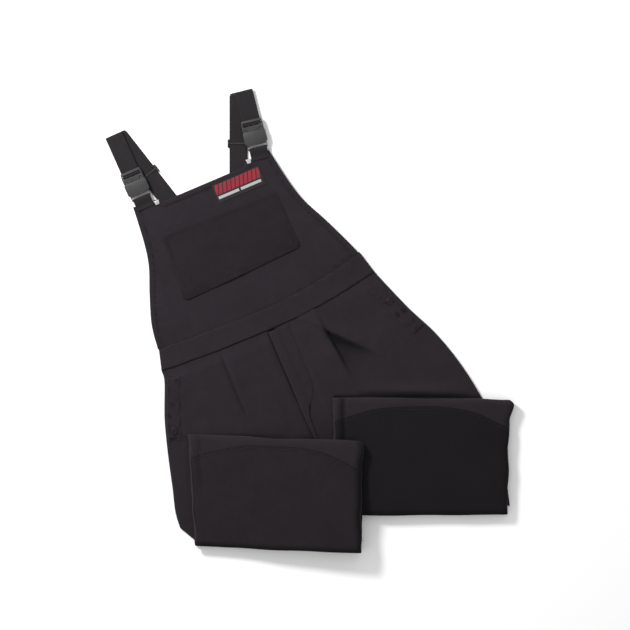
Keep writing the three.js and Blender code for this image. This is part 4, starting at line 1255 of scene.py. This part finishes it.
def make_strap(side, sign, front_lean, back_lean, fold_y, drift):
    lean = math.radians(front_lean)
    x, y = sign * STRAP_SPREAD + STRAP_MIDDLE, BUCKLE_Y
    strap = BIB @ Matrix.Translation((x, y, 0)) @ Matrix.Rotation(lean, 4, "Z")
    for node, material, slot, body in (
        ("buckle_socket", ACETAL, "buckle_plastic", "garment"),
        ("buckle_plug", ACETAL, "buckle_plastic", f"{side}_plug"),
        ("buckle_inner_prong", ACETAL, "buckle_plastic", f"{side}_inner_prong"),
        ("buckle_outer_prong", ACETAL, "buckle_plastic", f"{side}_outer_prong"),
        ("strap_adjuster", BLACK_ACETAL, "adjuster_plastic", f"{side}_adjuster"),
        ("anchor_clip", BRIGHT_METAL, "bright_metal", "garment"),
    ):
        moulded_copy(f"{side}_{node}", f"{side}_{node}_moulding", material,
                     bevel=0.45 if node != "anchor_clip" else 0.3, body=body)

    # front run: tail, turn round the cross bar, run to the shoulder, turn under
    run_top = WEB_FLOOR + 2 * FOLD_RADIUS - WEB / 2
    foot = fold_y - FOLD_RADIUS
    ring = 1.2 + 0.3 + WEB / 2
    line = [(CROSS_BAR_Y + 60, run_top - WEB), (CROSS_BAR_Y + 9, run_top - WEB - 0.1)]
    line += arc((CROSS_BAR_Y, CROSS_BAR_Z), ring, -60, -300, 18)
    line += [(CROSS_BAR_Y + 9, run_top + 0.35), (CROSS_BAR_Y + 20, run_top)]
    line += [(foot, run_top)] + arc((foot, WEB_FLOOR + FOLD_RADIUS), FOLD_RADIUS - WEB / 2, 90, -90)
    bm, length = webbing_strip(line)
    for v in bm.verts:
        if v.co.y > foot - 1:
            v.co.x += drift * (1 - step(WEB_FLOOR + 0.6, run_top - 0.3, v.co.z))
    bm.transform(strap)
    run = make_piece(f"{side}_front_webbing", bm, Matrix.Identity(4), WEBBING, body=None)
    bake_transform(run)
    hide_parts(f"{side}_strap_front_run")
    bm = bmesh.new()
    box_stitch(bm, -14, 14, CROSS_BAR_Y + 34, CROSS_BAR_Y + 56, run_top + WEB / 2 + 0.05)
    bm.transform(strap)
    tack = make_piece(f"{side}_tail_stitches", bm, Matrix.Identity(4), THREAD, body=None, sharp=180)
    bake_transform(tack)

    # anchor: a loop round the socket's bar, its ends sewn between the bib's plies
    end_y = TAB_HEIGHT - BUCKLE_Y - 12
    line = [(end_y, 4.2), (end_y + 8, 4.5), (SOCKET_BAR_Y - 5, BUCKLE_MIDDLE - 2.0)]
    line += arc((SOCKET_BAR_Y, BUCKLE_MIDDLE), ANCHOR_RADIUS, -110, 110, 16)
    line += [(SOCKET_BAR_Y - 6, BUCKLE_MIDDLE + 1.6), (end_y + 9, 7.0), (end_y, 6.6)]
    bm, length = webbing_strip(line, thickness=1.4)
    anchor = make_piece(f"{side}_anchor_webbing", bm, strap, WEBBING,
                        stands_for=[f"{side}_strap_anchor"])

    # back run, flat on the ground from the shoulder turn to the back panel
    foot = fold_y - FOLD_RADIUS - GAP
    fold = (x - foot * math.sin(lean) + drift * math.cos(lean),
            y + foot * math.cos(lean) + drift * math.sin(lean))
    turn = math.radians(back_lean)
    across = WEB_WIDTH / (2 * math.cos(turn - lean))
    start = [(fold[0] + s * across * math.cos(lean), fold[1] + s * across * math.sin(lean))
             for s in (-1, 1)]
    end = [(px + (py - BACK_TOP_Y + 14) * math.tan(turn), BACK_TOP_Y - 14) for px, py in start]
    outline = [start[0], end[0], end[1], start[1]]
    bm = flat_cloth(outline, 4.0, insets=(0.6, 1.0, 1.2))
    layer = cloth_layer(bm)
    thicken(bm, outline, lambda px, py, d: WEB_FLOOR + 1.6 + 0.12 * bell(d - 1.6, 0.8)
            - 0.5 * step(6, 0, py - BACK_TOP_Y), 1.45, rim=0.8)
    c, s = math.cos(turn), math.sin(turn)
    for v in bm.verts:
        px, py = v.co.x - fold[0], v.co.y - fold[1]
        v[layer] = (px * c + py * s, -px * s + py * c, 0)
    back_run = make_piece(f"{side}_back_webbing", bm, BIB, WEBBING,
                          stands_for=[f"{side}_strap_back_run"])
    size, area = cut_size(outline)
    area / (WEB_WIDTH * MM)


make_strap("right", -1, 1, 15, 117, 8)
make_strap("left", 1, -9, -23, 97, -12)

# ---- floor, light and camera --------------------------------------------------------------

FLOOR_REACH, FLOOR_LEVEL = 6.0, -0.0006  # in metres, as is all that follows
bm = bmesh.new()
bmesh.ops.create_grid(bm, x_segments=2, y_segments=2, size=FLOOR_REACH)
floor_mesh = bpy.data.meshes.new("studio_floor")
bm.to_mesh(floor_mesh)
bm.free()
floor = bpy.data.objects.new("studio_floor", floor_mesh)
bpy.context.scene.collection.objects.link(floor)
floor.location.z = FLOOR_LEVEL
white = Finish("floor_white", Roughness=0.9)
white.shader.inputs["Specular IOR Level"].default_value = 0.1
specks = white.mottle(white.object_place(), 3.0)
white.feed("Base Color", white.mix(specks, grey(0.86), grey(0.88)))
floor_mesh.materials.append(white.material)

scene = bpy.context.scene
scene.view_settings.view_transform = "Standard"
scene.view_settings.look = "None"
world = bpy.data.worlds.new("studio")
scene.world = world
world.use_nodes = True
world.node_tree.nodes["Background"].inputs["Color"].default_value = (1.0, 1.0, 1.0, 1)
world.node_tree.nodes["Background"].inputs["Strength"].default_value = 0.8


def area_light(name, place, aim, size, power):
    lamp = bpy.data.lights.new(name, "AREA")
    lamp.shape = "DISK"
    lamp.size = size
    lamp.energy = power
    holder = bpy.data.objects.new(name, lamp)
    scene.collection.objects.link(holder)
    holder.location = place
    holder.rotation_euler = (Vector(aim) - Vector(place)).to_track_quat("-Z", "Y").to_euler()


area_light("key_light", (-1.5, 1.35, 1.5), (0, 0, 0), 0.55, 74)

FRAME_CENTRE = Vector((0.0126, 0.0116, 0.018))
FRAME_WIDTH = 1.323
LENS = 180.0
camera_data = bpy.data.cameras.new("camera")
camera_data.lens = LENS
camera_data.sensor_width = 36.0
camera = bpy.data.objects.new("camera", camera_data)
scene.collection.objects.link(camera)
camera.location = FRAME_CENTRE + Vector((0, 0, FRAME_WIDTH * LENS / camera_data.sensor_width))
camera_data.clip_end = 50
scene.camera = camera
